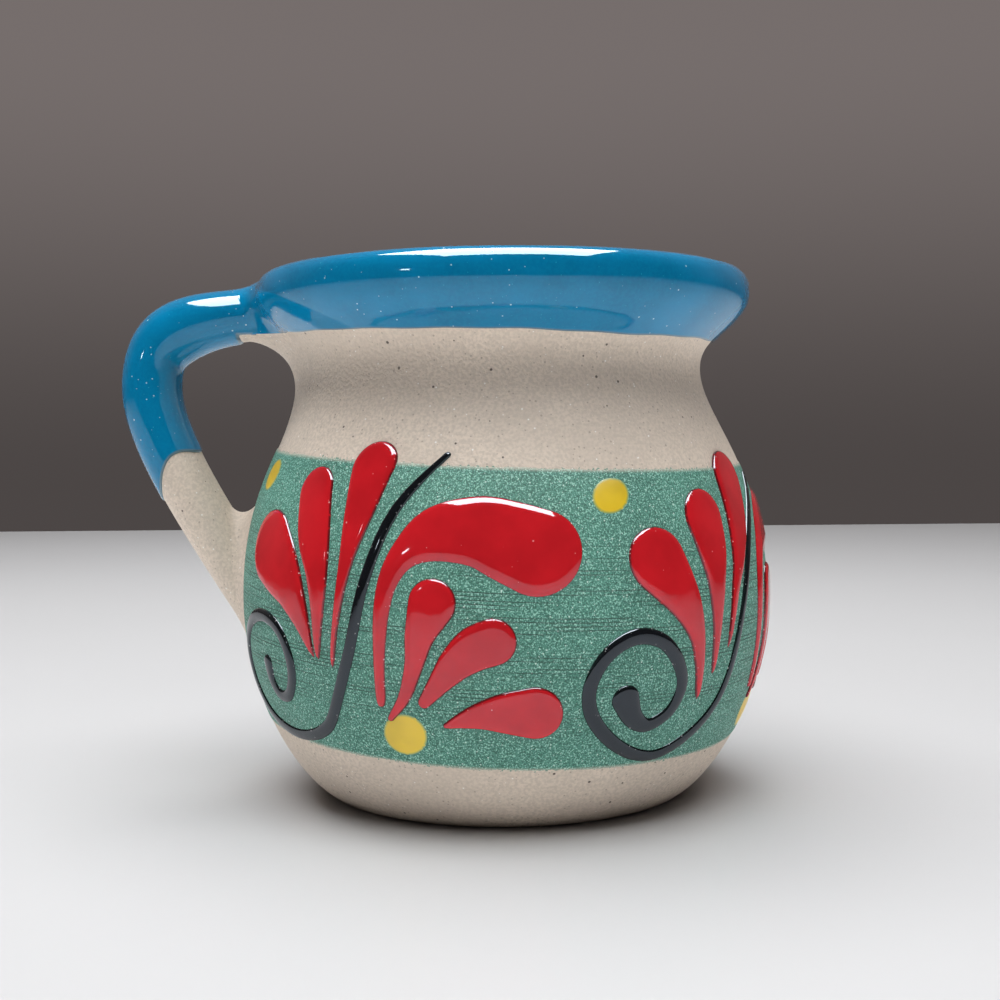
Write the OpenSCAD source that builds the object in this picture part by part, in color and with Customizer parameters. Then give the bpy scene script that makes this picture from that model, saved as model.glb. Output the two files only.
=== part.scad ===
// Jarrito: a wheel-thrown clay mug with a pulled handle, a glazed rim and lining,
// a sponged band round the belly and raised enamel brushwork on the band.
// The origin is the centre of the base, +Z is up and the handle lies along -X.

/* [Body] */
// Overall height, glaze included
mug_h = 96; // [85:1:110]
// Radius of the base where it meets the table
foot_r = 33; // [28:0.5:38]
// Rise of the rounded corner above the base, in degrees
foot_angle = 21; // [5:1:45]
// Radius of the clay at the widest part of the belly
belly_r = 48.9; // [44:0.1:54]
// Height of the widest part of the belly
belly_z = 36.5; // [32:0.5:44]
// Radius of the clay at the narrowest part of the neck
neck_r = 36.8; // [33:0.1:40]
// Depth of the narrowest part of the neck below the overall height
neck_drop = 18; // [17:0.5:24]
// Thickness of the thrown wall
wall = 4.5; // [3.5:0.1:6]
// Thickness of the floor
floor_t = 6; // [4.5:0.5:8]
// Radius of the flat part of the floor inside
floor_r = 26; // [18:1:28]

/* [Lip] */
// Radius of the circle that the middle of the rounded lip follows
lip_ring_r = 42.7; // [41:0.1:45]
// Radius of the rounding of the lip
lip_r = 2.75; // [2.2:0.05:3.2]

/* [Handle] */
// Depth of the handle's upper root below the overall height
root_drop = 6.7; // [6.5:0.1:9]
// How far the handle's centre line stands out past the belly
handle_reach = 17.5; // [15:0.5:22]
// Depth below the overall height where the handle stands farthest out
out_drop = 20.5; // [18:0.5:26]
// Height where the handle's centre line runs into the belly
tail_z = 38.3; // [34:0.1:44]
// Angle between the lower end of the handle and the vertical
tail_angle = 32; // [26:1:40]
// Thickness of the handle in side view at its middle
handle_t = 10.4; // [8:0.1:12]
// Thickness of the handle in side view at its upper root
root_t = 9.2; // [8:0.1:12]
// Thickness of the handle in side view at its lower end
tail_t = 9.8; // [8:0.1:12]
// Extra thickness where the handle turns its upper corner
corner_swell = 1.3; // [0:0.1:2]
// Width of the handle across
handle_w = 13.6; // [11:0.1:16]

/* [Slip joints] */
// How far the upper smear follows the handle on top
top_reach = 6; // [3:0.5:8]
// How far the upper smear runs up over the lip
top_run = 2.2; // [1:0.1:3]
// How far the upper smear of slip follows the handle, underneath
upper_reach = 9; // [6:0.5:11]
// How far the upper smear runs down the neck
upper_run = 25; // [12:1:28]
// How far the upper smear stands out and spreads beside the handle
side_reach = 4; // [3:0.5:7]
// How far the lower smear stands out and spreads beside the handle
tail_side = 2.5; // [1.5:0.5:5]
// How far the lower smear follows the handle inside the finger gap
lower_reach = 7; // [4:0.5:8]
// How far the lower smear runs up the wall inside the finger gap
lower_run = 9; // [4:0.5:10]
// How far the lower smear runs down the belly below the handle
tail_run = 2.5; // [1:0.5:6]
// Gap between the fired handle or slip and the wall that it is luted to
seat_gap = 0.05; // [0.03:0.01:0.2]

/* [Glaze] */
// Thickness of the blue glaze
glaze_t = 0.35; // [0.2:0.05:0.6]
// Depth of the lower edge of the rim glaze below the overall height, on the axis
glaze_drop = 11.3; // [9:0.1:13.5]
// Gap between the glaze or the band and a smear of slip
coat_gap = 0.3; // [0.2:0.05:0.6]

/* [Painted band] */
// Height of the lower edge of the band on the axis
band_low = 13.8; // [11:0.1:16]
// Height of the upper edge of the band on the axis
band_high = 62.5; // [60:0.1:66]
// Thickness of the sponged band
band_t = 0.15; // [0.1:0.05:0.3]
// Tilt of the painted lines towards the front, in degrees
tilt_front = 2.35; // [0:0.05:4]
// Tilt of the painted lines towards the side away from the handle, in degrees
tilt_side = 2.2; // [0:0.05:4]

/* [Enamel brushwork] */
// Height of the enamel above the clay
enamel_t = 0.8; // [0.5:0.05:1.2]
// Direction of the first scroll and fan, from the front towards the side away from the handle
fan_angle = -45; // [-50:1:-40]
// Direction of the first comma and spray
spray_angle = -5; // [-8:1:-2]

/* [Hidden] */
$fn = 192;

// Steps of the profile's curves, and of the round lip
foot_steps = 9;
shoulder_steps = 10;
flare_steps = 7;
lip_steps = 10;
lining_steps = 8;
// Heights of the neck, of the middle of the lip's rounding and of the rim glaze's lower edge
neck_z = mug_h - neck_drop;
lip_z = mug_h - glaze_t - lip_r;
glaze_edge = mug_h - glaze_drop;
// The handle's farthest point: its distance from the axis and its height
handle_out = belly_r + handle_reach;
handle_out_z = mug_h - out_drop;
// Pulls of the profile's curves at the foot, belly, neck and lip
foot_pull = 5.5;
belly_low_pull = 19.9;
belly_high_pull = 23.2;
neck_low_pull = 8.5;
neck_high_pull = 7;
lip_pull = 7.7;
// Pulls of the lining's curves at the lip, neck, belly and floor
lining_lip_pull = 4;
lining_neck_pull = 8.5;
lining_belly_pull = 21;
lining_low_pull = 15.5;
lining_floor_pull = 8;
// How far the decorated stretch of the wall starts below the band, to leave room for its tilt
tilt_room = 7;
// Height of the middle of the band
band_mid = (band_low + band_high) / 2;
// Size of the blocks that the tilted edges are cut with
cutter = 2 * (belly_r + handle_out);

// Sides of the handle and rings along each half of it
handle_sides = 24;
handle_rings = 14;
// Pulls of the handle's curve at the root, at the corner, below it and at the lower end
root_pull = 17;
corner_pull = 9.5;
back_pull = 10;
tail_pull = 14;
// Depth to which the handle's upper and lower ends run inside the wall before they are cut
root_depth = 8;
tail_depth = 12;
// Shape of the smears: a larger power hugs the corner more closely
smear_power = 2.45;
// Steps from the wall to the end of a smear, as shares of its reach
smear_steps = [0, 0.05, 0.12, 0.22, 0.36, 0.54, 0.76, 1];
// Depth to which a smear starts inside the wall before it is cut, and inside the handle
smear_depth = 8;
smear_inset = 0.35;
// Rounds of the search for the height of a smear's edge on the handle
height_rounds = 8;
// Edge of the handle's glaze in side view, from the finger gap to the outside: each point is
// [distance in from the handle's farthest point, depth below it]
GLAZE_DIP = [[7, 12], [2.5, 16], [2, 21]];
// Colours of the fired clay, the slip, the glaze, the sponged band and the enamels
clay = [0.76, 0.7, 0.64];
slip = [0.72, 0.66, 0.6];
blue = [0.04, 0.42, 0.58];
green = [0.33, 0.56, 0.49];
red = [0.72, 0.06, 0.08];
black = [0.03, 0.03, 0.04];
yellow = [0.87, 0.74, 0.12];

// A point on a cubic curve, and the direction of the curve there
function curve(p, t) = pow(1 - t, 3) * p[0] + 3 * t * pow(1 - t, 2) * p[1]
    + 3 * t * t * (1 - t) * p[2] + pow(t, 3) * p[3];
function curve_way(p, t) = 3 * pow(1 - t, 2) * (p[1] - p[0]) + 6 * t * (1 - t) * (p[2] - p[1])
    + 3 * t * t * (p[3] - p[2]);
function unit(v) = v / norm(v);
// The side of a profile that faces out of the clay
function face_way(v) = unit([v[1], -v[0]]);
function rows(p, n) = [for (k = [0:n - 1]) [curve(p, k / n), face_way(curve_way(p, k / n))]];
function shifted(list, t) = [for (row = list) row[0] + t * row[1]];
function reversed(list) = [for (k = [len(list) - 1:-1:0]) list[k]];

// The profile, from the foot up the outside, over the lip and down the lining.
// Each row is a point and the direction that faces out of the clay there.
foot_rows = rows([[foot_r, 0],
                  [foot_r + foot_pull * cos(foot_angle), foot_pull * sin(foot_angle)],
                  [belly_r, belly_z - belly_low_pull], [belly_r, belly_z]], foot_steps);
shoulder_rows = rows([[belly_r, belly_z], [belly_r, belly_z + belly_high_pull],
                      [neck_r, neck_z - neck_low_pull], [neck_r, neck_z]], shoulder_steps);
flare_rows = rows([[neck_r, neck_z], [neck_r, neck_z + neck_high_pull],
                   [lip_ring_r + lip_r, lip_z - lip_pull], [lip_ring_r + lip_r, lip_z]],
                  flare_steps);
outer_rows = concat(foot_rows, shoulder_rows, flare_rows);
lip_rows = [for (k = [0:lip_steps]) let (a = 180 * k / lip_steps)
    [[lip_ring_r + lip_r * cos(a), lip_z + lip_r * sin(a)], [cos(a), sin(a)]]];
lip_in = lip_ring_r - lip_r;
neck_in = neck_r - wall;
belly_in = belly_r - wall;
inner_rows = concat(
    rows([[lip_in, lip_z], [lip_in, lip_z - lining_lip_pull],
          [neck_in, neck_z + lining_neck_pull], [neck_in, neck_z]], lining_steps),
    rows([[neck_in, neck_z], [neck_in, neck_z - lining_neck_pull],
          [belly_in, belly_z + lining_belly_pull], [belly_in, belly_z]], lining_steps),
    rows([[belly_in, belly_z], [belly_in, belly_z - lining_low_pull],
          [floor_r + lining_floor_pull, floor_t], [floor_r, floor_t]], lining_steps),
    [[[floor_r, floor_t], [0, 1]], [[0, floor_t], [0, 1]]]);

// The outside of the wall as tables of length along the profile, for what follows the wall
wall_points = [for (row = concat(outer_rows, [for (r = lip_rows) if (r[0][0] >= lip_ring_r) r]))
    row[0]];
function lengths(p, k = 0, sum = 0) = k == len(p) ? []
    : let (s = sum + (k == 0 ? 0 : norm(p[k] - p[k - 1]))) concat([s], lengths(p, k + 1, s));
wall_s = lengths(wall_points);
table_r = [for (k = [0:len(wall_s) - 1]) [wall_s[k], wall_points[k][0]]];
table_z = [for (k = [0:len(wall_s) - 1]) [wall_s[k], wall_points[k][1]]];
table_s = [for (k = [0:len(wall_s) - 1]) [wall_points[k][1], wall_s[k]]];
function s_at(z) = lookup(z, table_s);
function wall_at(z) = lookup(s_at(z), table_r);

// The handle's centre line: two cubic curves in the plane through the mug's axis.
// Each point is [distance from the axis, height].
root_z = mug_h - root_drop;
root_at = [wall_at(root_z) - root_depth, root_z];
out_at = [handle_out, handle_out_z];
tail_way = [sin(tail_angle), cos(tail_angle)];
tail_at = [wall_at(tail_z), tail_z] - tail_depth * tail_way;
upper_line = [root_at, root_at + [root_depth + root_pull, 0], out_at + [0, corner_pull], out_at];
lower_line = [out_at, out_at - [0, back_pull], tail_at + (tail_depth + tail_pull) * tail_way, tail_at];
handle_line = concat(
    [for (k = [0:handle_rings - 1]) let (t = k / handle_rings)
        [curve(upper_line, t), unit(curve_way(upper_line, t)),
         (root_t + (handle_t - root_t) * t + corner_swell * pow(sin(180 * t), 4)) / 2]],
    [for (k = [0:handle_rings]) let (t = k / handle_rings)
        [curve(lower_line, t), unit(curve_way(lower_line, t)),
         (handle_t + (tail_t - handle_t) * t) / 2]]);

// The brush strokes, as hand-painted. Each point is [sideways, height above the middle of the
// band, half width] on the flat plan of a motif, and a stroke's outline is the edge of the
// round brush that passes through its points. The fan and its scroll have two variants.
FAN_OUTER = [[[3.5, -6.6, 0.7], [1, -1.8, 2.2], [-2.5, 2.7, 3.9], [-6.3, 5.9, 5.5], [-10, 8.4, 6.5]],
             [[-2.4, -11.9, 0.7], [-3, -7.4, 1.2], [-4.2, -2.3, 1.9], [-6.9, 3.2, 3.4], [-11.8, 9.9, 5.4]]];
FAN_MIDDLE = [[[5.3, -6.6, 0.7], [5.2, 0.3, 1.6], [4.3, 6.2, 2.6], [2.2, 12.1, 3.8], [0, 18.9, 4]],
              [[0.8, -7.9, 0.6], [1, -0.3, 1.4], [1, 6.6, 2.6], [0.7, 11.6, 3.9], [0, 16.4, 4.7]]];
FAN_INNER = [[[8.6, -7.5, 0.5], [9.6, 0.5, 0.8], [10.4, 8.6, 1.5], [10.9, 16.6, 2.9], [10.7, 23.6, 4]],
             [[5, -3.9, 0.5], [6.6, 3.6, 1.2], [8.4, 8.6, 2], [10.1, 15, 3.4], [11.2, 22.4, 4.6]]];
SCROLL = [[[21.8, 25.9, 0.5], [17.1, 16.9, 0.9], [14.4, 5.9, 1], [11.9, -6.4, 1.1], [7, -17.4, 1.1],
           [2.7, -21.4, 1.1], [-3.2, -23.2, 1], [-9.2, -23.1, 1], [-14.8, -21.4, 1], [-19.5, -17.6, 1],
           [-21.3, -12.6, 1], [-19.6, -7.6, 1.1], [-15.3, -4.3, 1.2], [-10.3, -3.4, 1.2],
           [-5.7, -4.8, 1.2], [-2.9, -8.2, 1.2], [-2.3, -12.2, 1.2], [-4.1, -15.9, 1.1],
           [-7.2, -16.8, 1.1], [-9.6, -14.8, 1.2], [-10.3, -11.6, 1.5]],
          [[22.6, 22.5, 0.6], [14.3, 12.9, 1], [9.3, 0.6, 0.9], [5.9, -10.6, 0.9], [3, -15.9, 0.9],
           [-1, -19.5, 1], [-5.5, -22, 1], [-9.5, -22.8, 1], [-14, -21.6, 1.1], [-18.6, -18.6, 1.1],
           [-22, -14.6, 1.1], [-23.1, -10.3, 1.1], [-21.9, -6, 1.2], [-19, -3, 1.3],
           [-15.3, -1.9, 1.4], [-11.2, -3.2, 1.3], [-8.2, -6.4, 1.3], [-6.5, -10.4, 1.2],
           [-7.6, -14.3, 1.2], [-10, -16.4, 1.2], [-12.6, -17, 1.3], [-15.2, -15.3, 1.7],
           [-17.1, -12.1, 2.3]]];
COMMA = [[-15.6, -13.5, 0.9], [-15.9, -7, 1.1], [-15.7, 1, 1.5], [-14.5, 6.6, 1.9],
         [-11.7, 10.8, 2.7], [-7, 13.7, 4.4], [-0.5, 14.3, 5.6], [4.5, 12.9, 6.4], [9, 11.3, 6.9]];
SPRAY_UPPER = [[-13.9, -16.4, 0.6], [-11.6, -12.5, 1.1], [-10.1, -7.2, 1.6], [-9.2, -2.2, 2.5],
               [-7.4, 2.9, 3.9]];
SPRAY_MIDDLE = [[-8.3, -13.1, 1.1], [-5.8, -9.6, 1.9], [-3.3, -6.4, 2.8], [-0.4, -3.9, 3.6],
                [2.4, -2.7, 3.8]];
SPRAY_LOWER = [[-4.8, -16.8, 0.5], [-1.8, -15.6, 1.5], [1.2, -14.7, 2.4], [5, -14.2, 3.5], [9.3, -14.1, 4.4]];
SHOULDER_DOT = [19.8, 20.2, 3];
SPRAY_DOT = [-11.6, -19.1, 3.8];
// Steps between two points of a stroke, and round each of its ends
stroke_steps = 3;
cap_steps = 8;
tip_steps = 4;
// Places round the mug for each kind of motif: the handle takes the last place of a spray
places = 4;
place_step = 360 / places;
// Radius of the belly that the plans are drawn for: on another belly they spread with it
plan_r = 48.9;
plan_spread = belly_r / plan_r;

function spline_at(p, i, t) = let (a = p[max(i - 1, 0)], b = p[i], c = p[i + 1],
                                   d = p[min(i + 2, len(p) - 1)])
    0.5 * (2 * b + (c - a) * t + (2 * a - 5 * b + 4 * c - d) * t * t
           + (3 * b - a - 3 * c + d) * pow(t, 3));
function spline(p, n) = concat([for (i = [0:len(p) - 2]) for (k = [0:n - 1]) spline_at(p, i, k / n)],
                               [p[len(p) - 1]]);
// Direction of a stroke at one of its points, and how fast its half width grows there
function step_at(q, k) = q[min(k + 1, len(q) - 1)] - q[max(k - 1, 0)];
function heading(v) = atan2(v[1], v[0]);
function lean(v) = asin(max(-0.9, min(0.9, v[2] / norm([v[0], v[1]]))));
function brush_at(c, a) = [c[0] + c[2] * cos(a), c[1] + c[2] * sin(a)];
function brush_outline(p, n) = let (q = spline(p, n), last = len(q) - 1)
    concat(
        [for (k = [0:last]) let (v = step_at(q, k)) brush_at(q[k], heading(v) - 90 - lean(v))],
        [for (j = [1:cap_steps - 1]) let (v = step_at(q, last), e = 90 + lean(v))
            brush_at(q[last], heading(v) - e + 2 * e * j / cap_steps)],
        [for (k = [last:-1:0]) let (v = step_at(q, k)) brush_at(q[k], heading(v) + 90 + lean(v))],
        [for (j = [1:tip_steps - 1]) let (v = step_at(q, 0), e = 90 - lean(v))
            brush_at(q[0], heading(v) + 180 - e + 2 * e * j / tip_steps)]);

// A skin of the wall between two heights above the clay, from under the band up to the neck
module wall_skin(from, to) {
    stretch = concat([for (r = foot_rows) if (r[0][1] > band_low - tilt_room) r], shoulder_rows);
    rotate_extrude() polygon(concat(shifted(stretch, from), reversed(shifted(stretch, to))));
}

// The frame that the painter's turntable held the mug in, a little out of true, with its
// origin at the middle of the band
module painted() {
    translate([0, 0, band_mid]) rotate([tilt_front, tilt_side, 0]) children();
}

// The space between two painted heights
module between(low, high) {
    painted() translate([-cutter / 2, -cutter / 2, low - band_mid])
        cube([cutter, cutter, high - low]);
}

// The outer form of the pot as a full solid, grown by a gap, for what is cut to sit on it
module form(gap) {
    rotate_extrude() polygon(concat([[0, 0]], shifted(outer_rows, gap),
        [for (p = shifted(lip_rows, gap)) if (p[0] >= lip_ring_r) p], [[0, lip_z + lip_r + gap]]));
}

module pot() {
    color(clay)
        rotate_extrude() polygon(concat([[0, 0]], shifted(outer_rows, 0), shifted(lip_rows, 0),
            [for (k = [1:len(inner_rows) - 1]) inner_rows[k][0]]));
}

// A closed tube through rings of equal length: its two ends are closed by fans
module tube(rings) {
    n = len(rings[0]);
    m = len(rings);
    points = concat([for (ring = rings) each ring], [mean(rings[0]), mean(rings[m - 1])]);
    polyhedron(points, concat(
        [for (i = [0:m - 2]) for (j = [0:n - 1]) let (a = i * n + j, b = i * n + (j + 1) % n)
            each [[a, b + n, b], [a, a + n, b + n]]],
        [for (j = [0:n - 1]) [j, (j + 1) % n, m * n]],
        [for (j = [0:n - 1]) [(m - 1) * n + (j + 1) % n, (m - 1) * n + j, m * n + 1]]));
}
function mean(list) = [for (k = [0:2]) sum_of([for (p = list) p[k]]) / len(list)];
function sum_of(list, k = 0) = k == len(list) ? 0 : list[k] + sum_of(list, k + 1);

// The handle's full length, ends buried, grown by a coat
module strap(coat) {
    tube([for (row = handle_line) [for (j = [0:handle_sides - 1])
        let (a = 360 * j / handle_sides, side = [-row[1][1], row[1][0]],
             p = row[0] + (row[2] + coat) * cos(a) * side)
        [-p[0], (handle_w / 2 + coat) * sin(a), p[1]]]]);
}

// The edge of a smear of slip. The place is [height of the joint, half height, half width,
// rise for each millimetre out], way is the direction round the handle, with 0 upwards and
// 90 to the side, and run and reach are [above, beside, below]. side_height steps towards
// the height where the handle's surface stands a distance out from the wall.
function side_height(place, way, out, z, k = height_rounds) = k == 0 ? z
    : side_height(place, way, out, place[0] + cos(way) * place[1]
                  + place[3] * (wall_at(z) + out - wall_at(place[0])), k - 1);
function blend_of(v, way) = v[1] + (cos(way) > 0 ? v[0] - v[1] : v[2] - v[1]) * pow(cos(way), 4);
function smear_at(place, reach, run, share, way, extra = 0) =
    let (out = share * blend_of(reach, way),
         spread = blend_of(run, way) * pow(1 - share, smear_power) + extra,
         s = s_at(side_height(place, way, out, place[0])) + cos(way) * spread,
         y = sin(way) * (place[2] + spread),
         r = lookup(s, table_r) + out)
    [-sqrt(r * r - y * y), y, lookup(s, table_z)];
module smear(place, reach, run) {
    buried = [for (j = [0:handle_sides - 1])
        smear_at(place, reach, run, 0, 360 * j / handle_sides) + [smear_depth, 0, 0]];
    tube(concat([buried], [for (share = smear_steps) [for (j = [0:handle_sides - 1])
        smear_at(place, reach, run, share, 360 * j / handle_sides)]]));
}
// The hole that a smear of slip needs in a coat on the wall
module smear_window(place, reach, run) {
    rotate([90, 0, -90]) linear_extrude(cutter / 2) polygon([for (j = [0:handle_sides - 1])
        let (p = smear_at(place, reach, run, 0, 360 * j / handle_sides, coat_gap)) [-p[1], p[2]]]);
}
upper_place = [root_z, root_t / 2 - smear_inset, handle_w / 2 - smear_inset, 0];
upper_out = [top_reach, side_reach, upper_reach];
upper_runs = [top_run, side_reach, upper_run];
lower_place = [tail_z, tail_t / 2 / sin(tail_angle) - smear_inset, handle_w / 2 - smear_inset,
               1 / tan(tail_angle)];
lower_out = [lower_reach, tail_side, tail_side];
lower_runs = [lower_run, tail_side, tail_run];

module handle() {
    color(clay) difference() {
        strap(0);
        form(seat_gap);
    }
}

module upper_lute() {
    color(slip) difference() {
        smear(upper_place, upper_out, upper_runs);
        strap(0);
        form(seat_gap);
    }
}

module lower_lute() {
    color(slip) difference() {
        smear(lower_place, lower_out, lower_runs);
        strap(0);
        form(seat_gap);
    }
}

module rim_glaze() {
    skirt = concat(flare_rows, lip_rows);
    color(blue) difference() {
        rotate_extrude() polygon(concat(shifted(skirt, 0), reversed(shifted(skirt, glaze_t))));
        between(glaze_edge - cutter, glaze_edge);
        smear_window(upper_place, upper_out, upper_runs);
    }
}

module liner_glaze() {
    color(blue) rotate_extrude()
        polygon(concat(shifted(inner_rows, 0), reversed(shifted(inner_rows, glaze_t))));
}

// The side view of the glazed part of the handle: its edge slants down across the strap
module glazed_side() {
    edge = [for (p = GLAZE_DIP) [p[0] - handle_out, handle_out_z - p[1]]];
    rotate([90, 0, 0]) translate([0, 0, -handle_w]) linear_extrude(2 * handle_w)
        polygon(concat([[0, edge[0][1]]], edge,
                       [[-cutter, edge[len(edge) - 1][1]], [-cutter, cutter], [0, cutter]]));
}

module handle_glaze() {
    color(blue) difference() {
        intersection() {
            strap(glaze_t);
            glazed_side();
        }
        strap(0);
        form(glaze_t + seat_gap);
        smear(upper_place, upper_out, upper_runs);
    }
}

module green_band() {
    color(green) difference() {
        wall_skin(0, band_t);
        between(band_low - cutter, band_low);
        between(band_high, band_high + cutter);
        smear_window(lower_place, lower_out, lower_runs);
    }
}

// A flat outline on a motif's plan, carried outwards from the axis in a direction round the mug
module facing(angle) {
    painted() rotate([90, 0, angle]) linear_extrude(cutter / 2) children();
}

module stroke(plan) {
    polygon([for (p = brush_outline(plan, stroke_steps)) [p[0] * plan_spread, p[1]]]);
}

module dot(plan) {
    translate([plan[0] * plan_spread, plan[1]]) circle(plan[2]);
}

// Enamel laid over the band
module on_band(angle) {
    intersection() {
        wall_skin(band_t, enamel_t);
        facing(angle) children();
    }
}

// Enamel that leaves the band and ends on bare clay
module over_edge(angle) {
    difference() {
        intersection() {
            wall_skin(0, enamel_t);
            facing(angle) children();
        }
        intersection() {
            wall_skin(-enamel_t, band_t);
            between(band_low, band_high);
        }
    }
}

module fan_petal_outer() {
    color(red) for (k = [0:places - 1]) on_band(fan_angle + k * place_step)
        stroke(FAN_OUTER[k % 2]);
}

module fan_petal_middle() {
    color(red) for (k = [0:places - 1]) on_band(fan_angle + k * place_step)
        stroke(FAN_MIDDLE[k % 2]);
}

module fan_petal_inner() {
    color(red) for (k = [0:places - 1]) over_edge(fan_angle + k * place_step)
        stroke(FAN_INNER[k % 2]);
}

module scroll_line() {
    color(black) for (k = [0:places - 1]) over_edge(fan_angle + k * place_step)
        stroke(SCROLL[k % 2]);
}

module comma_stroke() {
    color(red) for (k = [0:places - 2]) on_band(spray_angle + k * place_step) stroke(COMMA);
}

module spray_petal_upper() {
    color(red) for (k = [0:places - 2]) on_band(spray_angle + k * place_step) stroke(SPRAY_UPPER);
}

module spray_petal_middle() {
    color(red) for (k = [0:places - 2]) on_band(spray_angle + k * place_step) stroke(SPRAY_MIDDLE);
}

module spray_petal_lower() {
    color(red) for (k = [0:places - 2]) on_band(spray_angle + k * place_step) stroke(SPRAY_LOWER);
}

module shoulder_dot() {
    color(yellow) for (k = [0:places - 1]) on_band(spray_angle + k * place_step) dot(SHOULDER_DOT);
}

// The spray's first petal ends on this dot, so the dot makes room for the petal's tail
module spray_dot() {
    color(yellow) for (k = [0:places - 2]) on_band(spray_angle + k * place_step) difference() {
        dot(SPRAY_DOT);
        stroke(SPRAY_UPPER);
    }
}

pot();
handle();
upper_lute();
lower_lute();
rim_glaze();
liner_glaze();
handle_glaze();
green_band();
fan_petal_outer();
fan_petal_middle();
fan_petal_inner();
scroll_line();
comma_stroke();
spray_petal_upper();
spray_petal_middle();
spray_petal_lower();
shoulder_dot();
spray_dot();
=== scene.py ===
"""A glazed clay mug with enamel brushwork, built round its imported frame.

Every surface is worked out from the same sizes as the solids: the clay's profile is a chain of
cubic curves, coats are that profile lifted along its outward direction, and a brush stroke is
a flat plan laid on the wall. Bearings run round the mug from the front, -Y, towards +X.
"""

import math

import bpy
import numpy as np
from bpy.props import FloatProperty, FloatVectorProperty, PointerProperty
from bpy.types import Operator, Panel, PropertyGroup
from mathutils import Euler, Matrix, Vector


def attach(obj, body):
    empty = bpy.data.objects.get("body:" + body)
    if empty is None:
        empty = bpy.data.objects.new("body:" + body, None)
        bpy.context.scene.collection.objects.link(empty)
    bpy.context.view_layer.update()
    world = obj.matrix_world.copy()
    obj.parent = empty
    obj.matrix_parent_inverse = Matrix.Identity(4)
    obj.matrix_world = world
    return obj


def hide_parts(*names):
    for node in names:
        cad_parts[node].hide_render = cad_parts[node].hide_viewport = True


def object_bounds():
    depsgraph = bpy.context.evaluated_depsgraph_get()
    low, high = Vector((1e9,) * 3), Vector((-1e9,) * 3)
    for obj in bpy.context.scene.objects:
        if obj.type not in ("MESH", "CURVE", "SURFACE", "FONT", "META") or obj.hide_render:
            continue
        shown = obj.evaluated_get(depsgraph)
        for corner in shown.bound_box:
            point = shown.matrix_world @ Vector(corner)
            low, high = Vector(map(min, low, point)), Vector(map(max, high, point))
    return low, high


bl_info = {
    "name": "Clay mug",
    "version": (1, 0, 0),
    "blender": (4, 5, 0),
    "location": "View3D > Sidebar > Clay mug",
    "description": "Builds a glazed clay mug with enamel brushwork round its packed frame",
    "category": "Add Mesh",
}

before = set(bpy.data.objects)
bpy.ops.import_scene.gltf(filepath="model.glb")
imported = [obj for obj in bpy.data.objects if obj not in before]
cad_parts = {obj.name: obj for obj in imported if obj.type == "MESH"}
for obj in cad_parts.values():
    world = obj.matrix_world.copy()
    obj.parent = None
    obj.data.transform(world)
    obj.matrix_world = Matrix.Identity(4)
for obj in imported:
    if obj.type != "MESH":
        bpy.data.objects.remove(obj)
CAD_BOX = [list(corner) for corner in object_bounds()]
MM = 0.001

# Sides of a full turn, and rows along the stretches of the profile
SIDES = 320
BAND_SIDES = 600
BASE_ROWS = 8
CORNER_ROWS = 7
FOOT_ROWS = 48
SHOULDER_ROWS = 56
FLARE_ROWS = 30
LIP_ROWS = 22
LINING_ROWS = 22
FLOOR_ROWS = 6
# Radius of the innermost ring of the base and of the floor, as a share of the whole
CENTRE = 0.02
# Pulls of the outside's curves at the foot, belly, neck and lip
FOOT_PULL = 5.5 * MM
BELLY_LOW_PULL = 19.9 * MM
BELLY_HIGH_PULL = 23.2 * MM
NECK_LOW_PULL = 8.5 * MM
NECK_HIGH_PULL = 7.0 * MM
LIP_PULL = 7.7 * MM
# Pulls of the lining's curves at the lip, neck, belly and floor
LINING_LIP_PULL = 4.0 * MM
LINING_NECK_PULL = 8.5 * MM
LINING_BELLY_PULL = 21.0 * MM
LINING_LOW_PULL = 15.5 * MM
LINING_FLOOR_PULL = 8.0 * MM
# Rounding where the base turns up into the foot, and the least step from it to the next row
BASE_ROUND = 4.0 * MM
BASE_STEP = 0.3 * MM
# Rounds in which a point settles on the wall: of a painted edge, a brush's plan, a smear and
# the edge of the handle's coat; a plan's point moves as if it faced outwards at least this much
EDGE_ROUNDS = 8
PLAN_ROUNDS = 16
SMEAR_ROUNDS = 12
HANDLE_ROUNDS = 10
LEAST_FACING = 0.3

# Depth in the clay of a coat's hidden side, and of the very edge of the glaze
TUCK = 0.2 * MM
EDGE_SINK = 0.02 * MM
# The glaze near its edge: the zone with closer rows, their spacing's power, the width of the
# rounding, and the extra thickness that fades over the zone
EDGE_ZONE = 0.9 * MM
EDGE_ROWS = 9
EDGE_CLOSER = 1.5
GLAZE_BEAD = 0.45 * MM
EDGE_SWELL = 0.25
GLAZE_ROWS = 120
GLAZE_BACK_ROWS = 50
# The glaze's lower edge: its dip beside the handle, and the further dip over the upper joint
DIP = 1.3 * MM
DIP_BEARING = math.radians(-62)
DIP_SPREAD = math.radians(32)
JOINT_DIP = 0.4 * MM
JOINT_SPREAD = math.radians(12)
# The roll of thicker glaze just under the lip's widest part
LIP_ROLL = 0.3 * MM
LIP_ROLL_AT = 2.6 * MM
LIP_ROLL_SPREAD = 2.0 * MM
# Small waves of the painted edges: each has a height, a number in a full turn and a phase
GLAZE_WAVES = ((0.12 * MM, 7, 1), (0.08 * MM, 19, 0))
BAND_LOW_WAVES = ((0.1 * MM, 11, 0), (0.08 * MM, 29, 2))
BAND_HIGH_WAVES = ((0.1 * MM, 13, 1), (0.08 * MM, 31, 0))
HANDLE_WAVES = ((0.25 * MM, 3, 1),)
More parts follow.
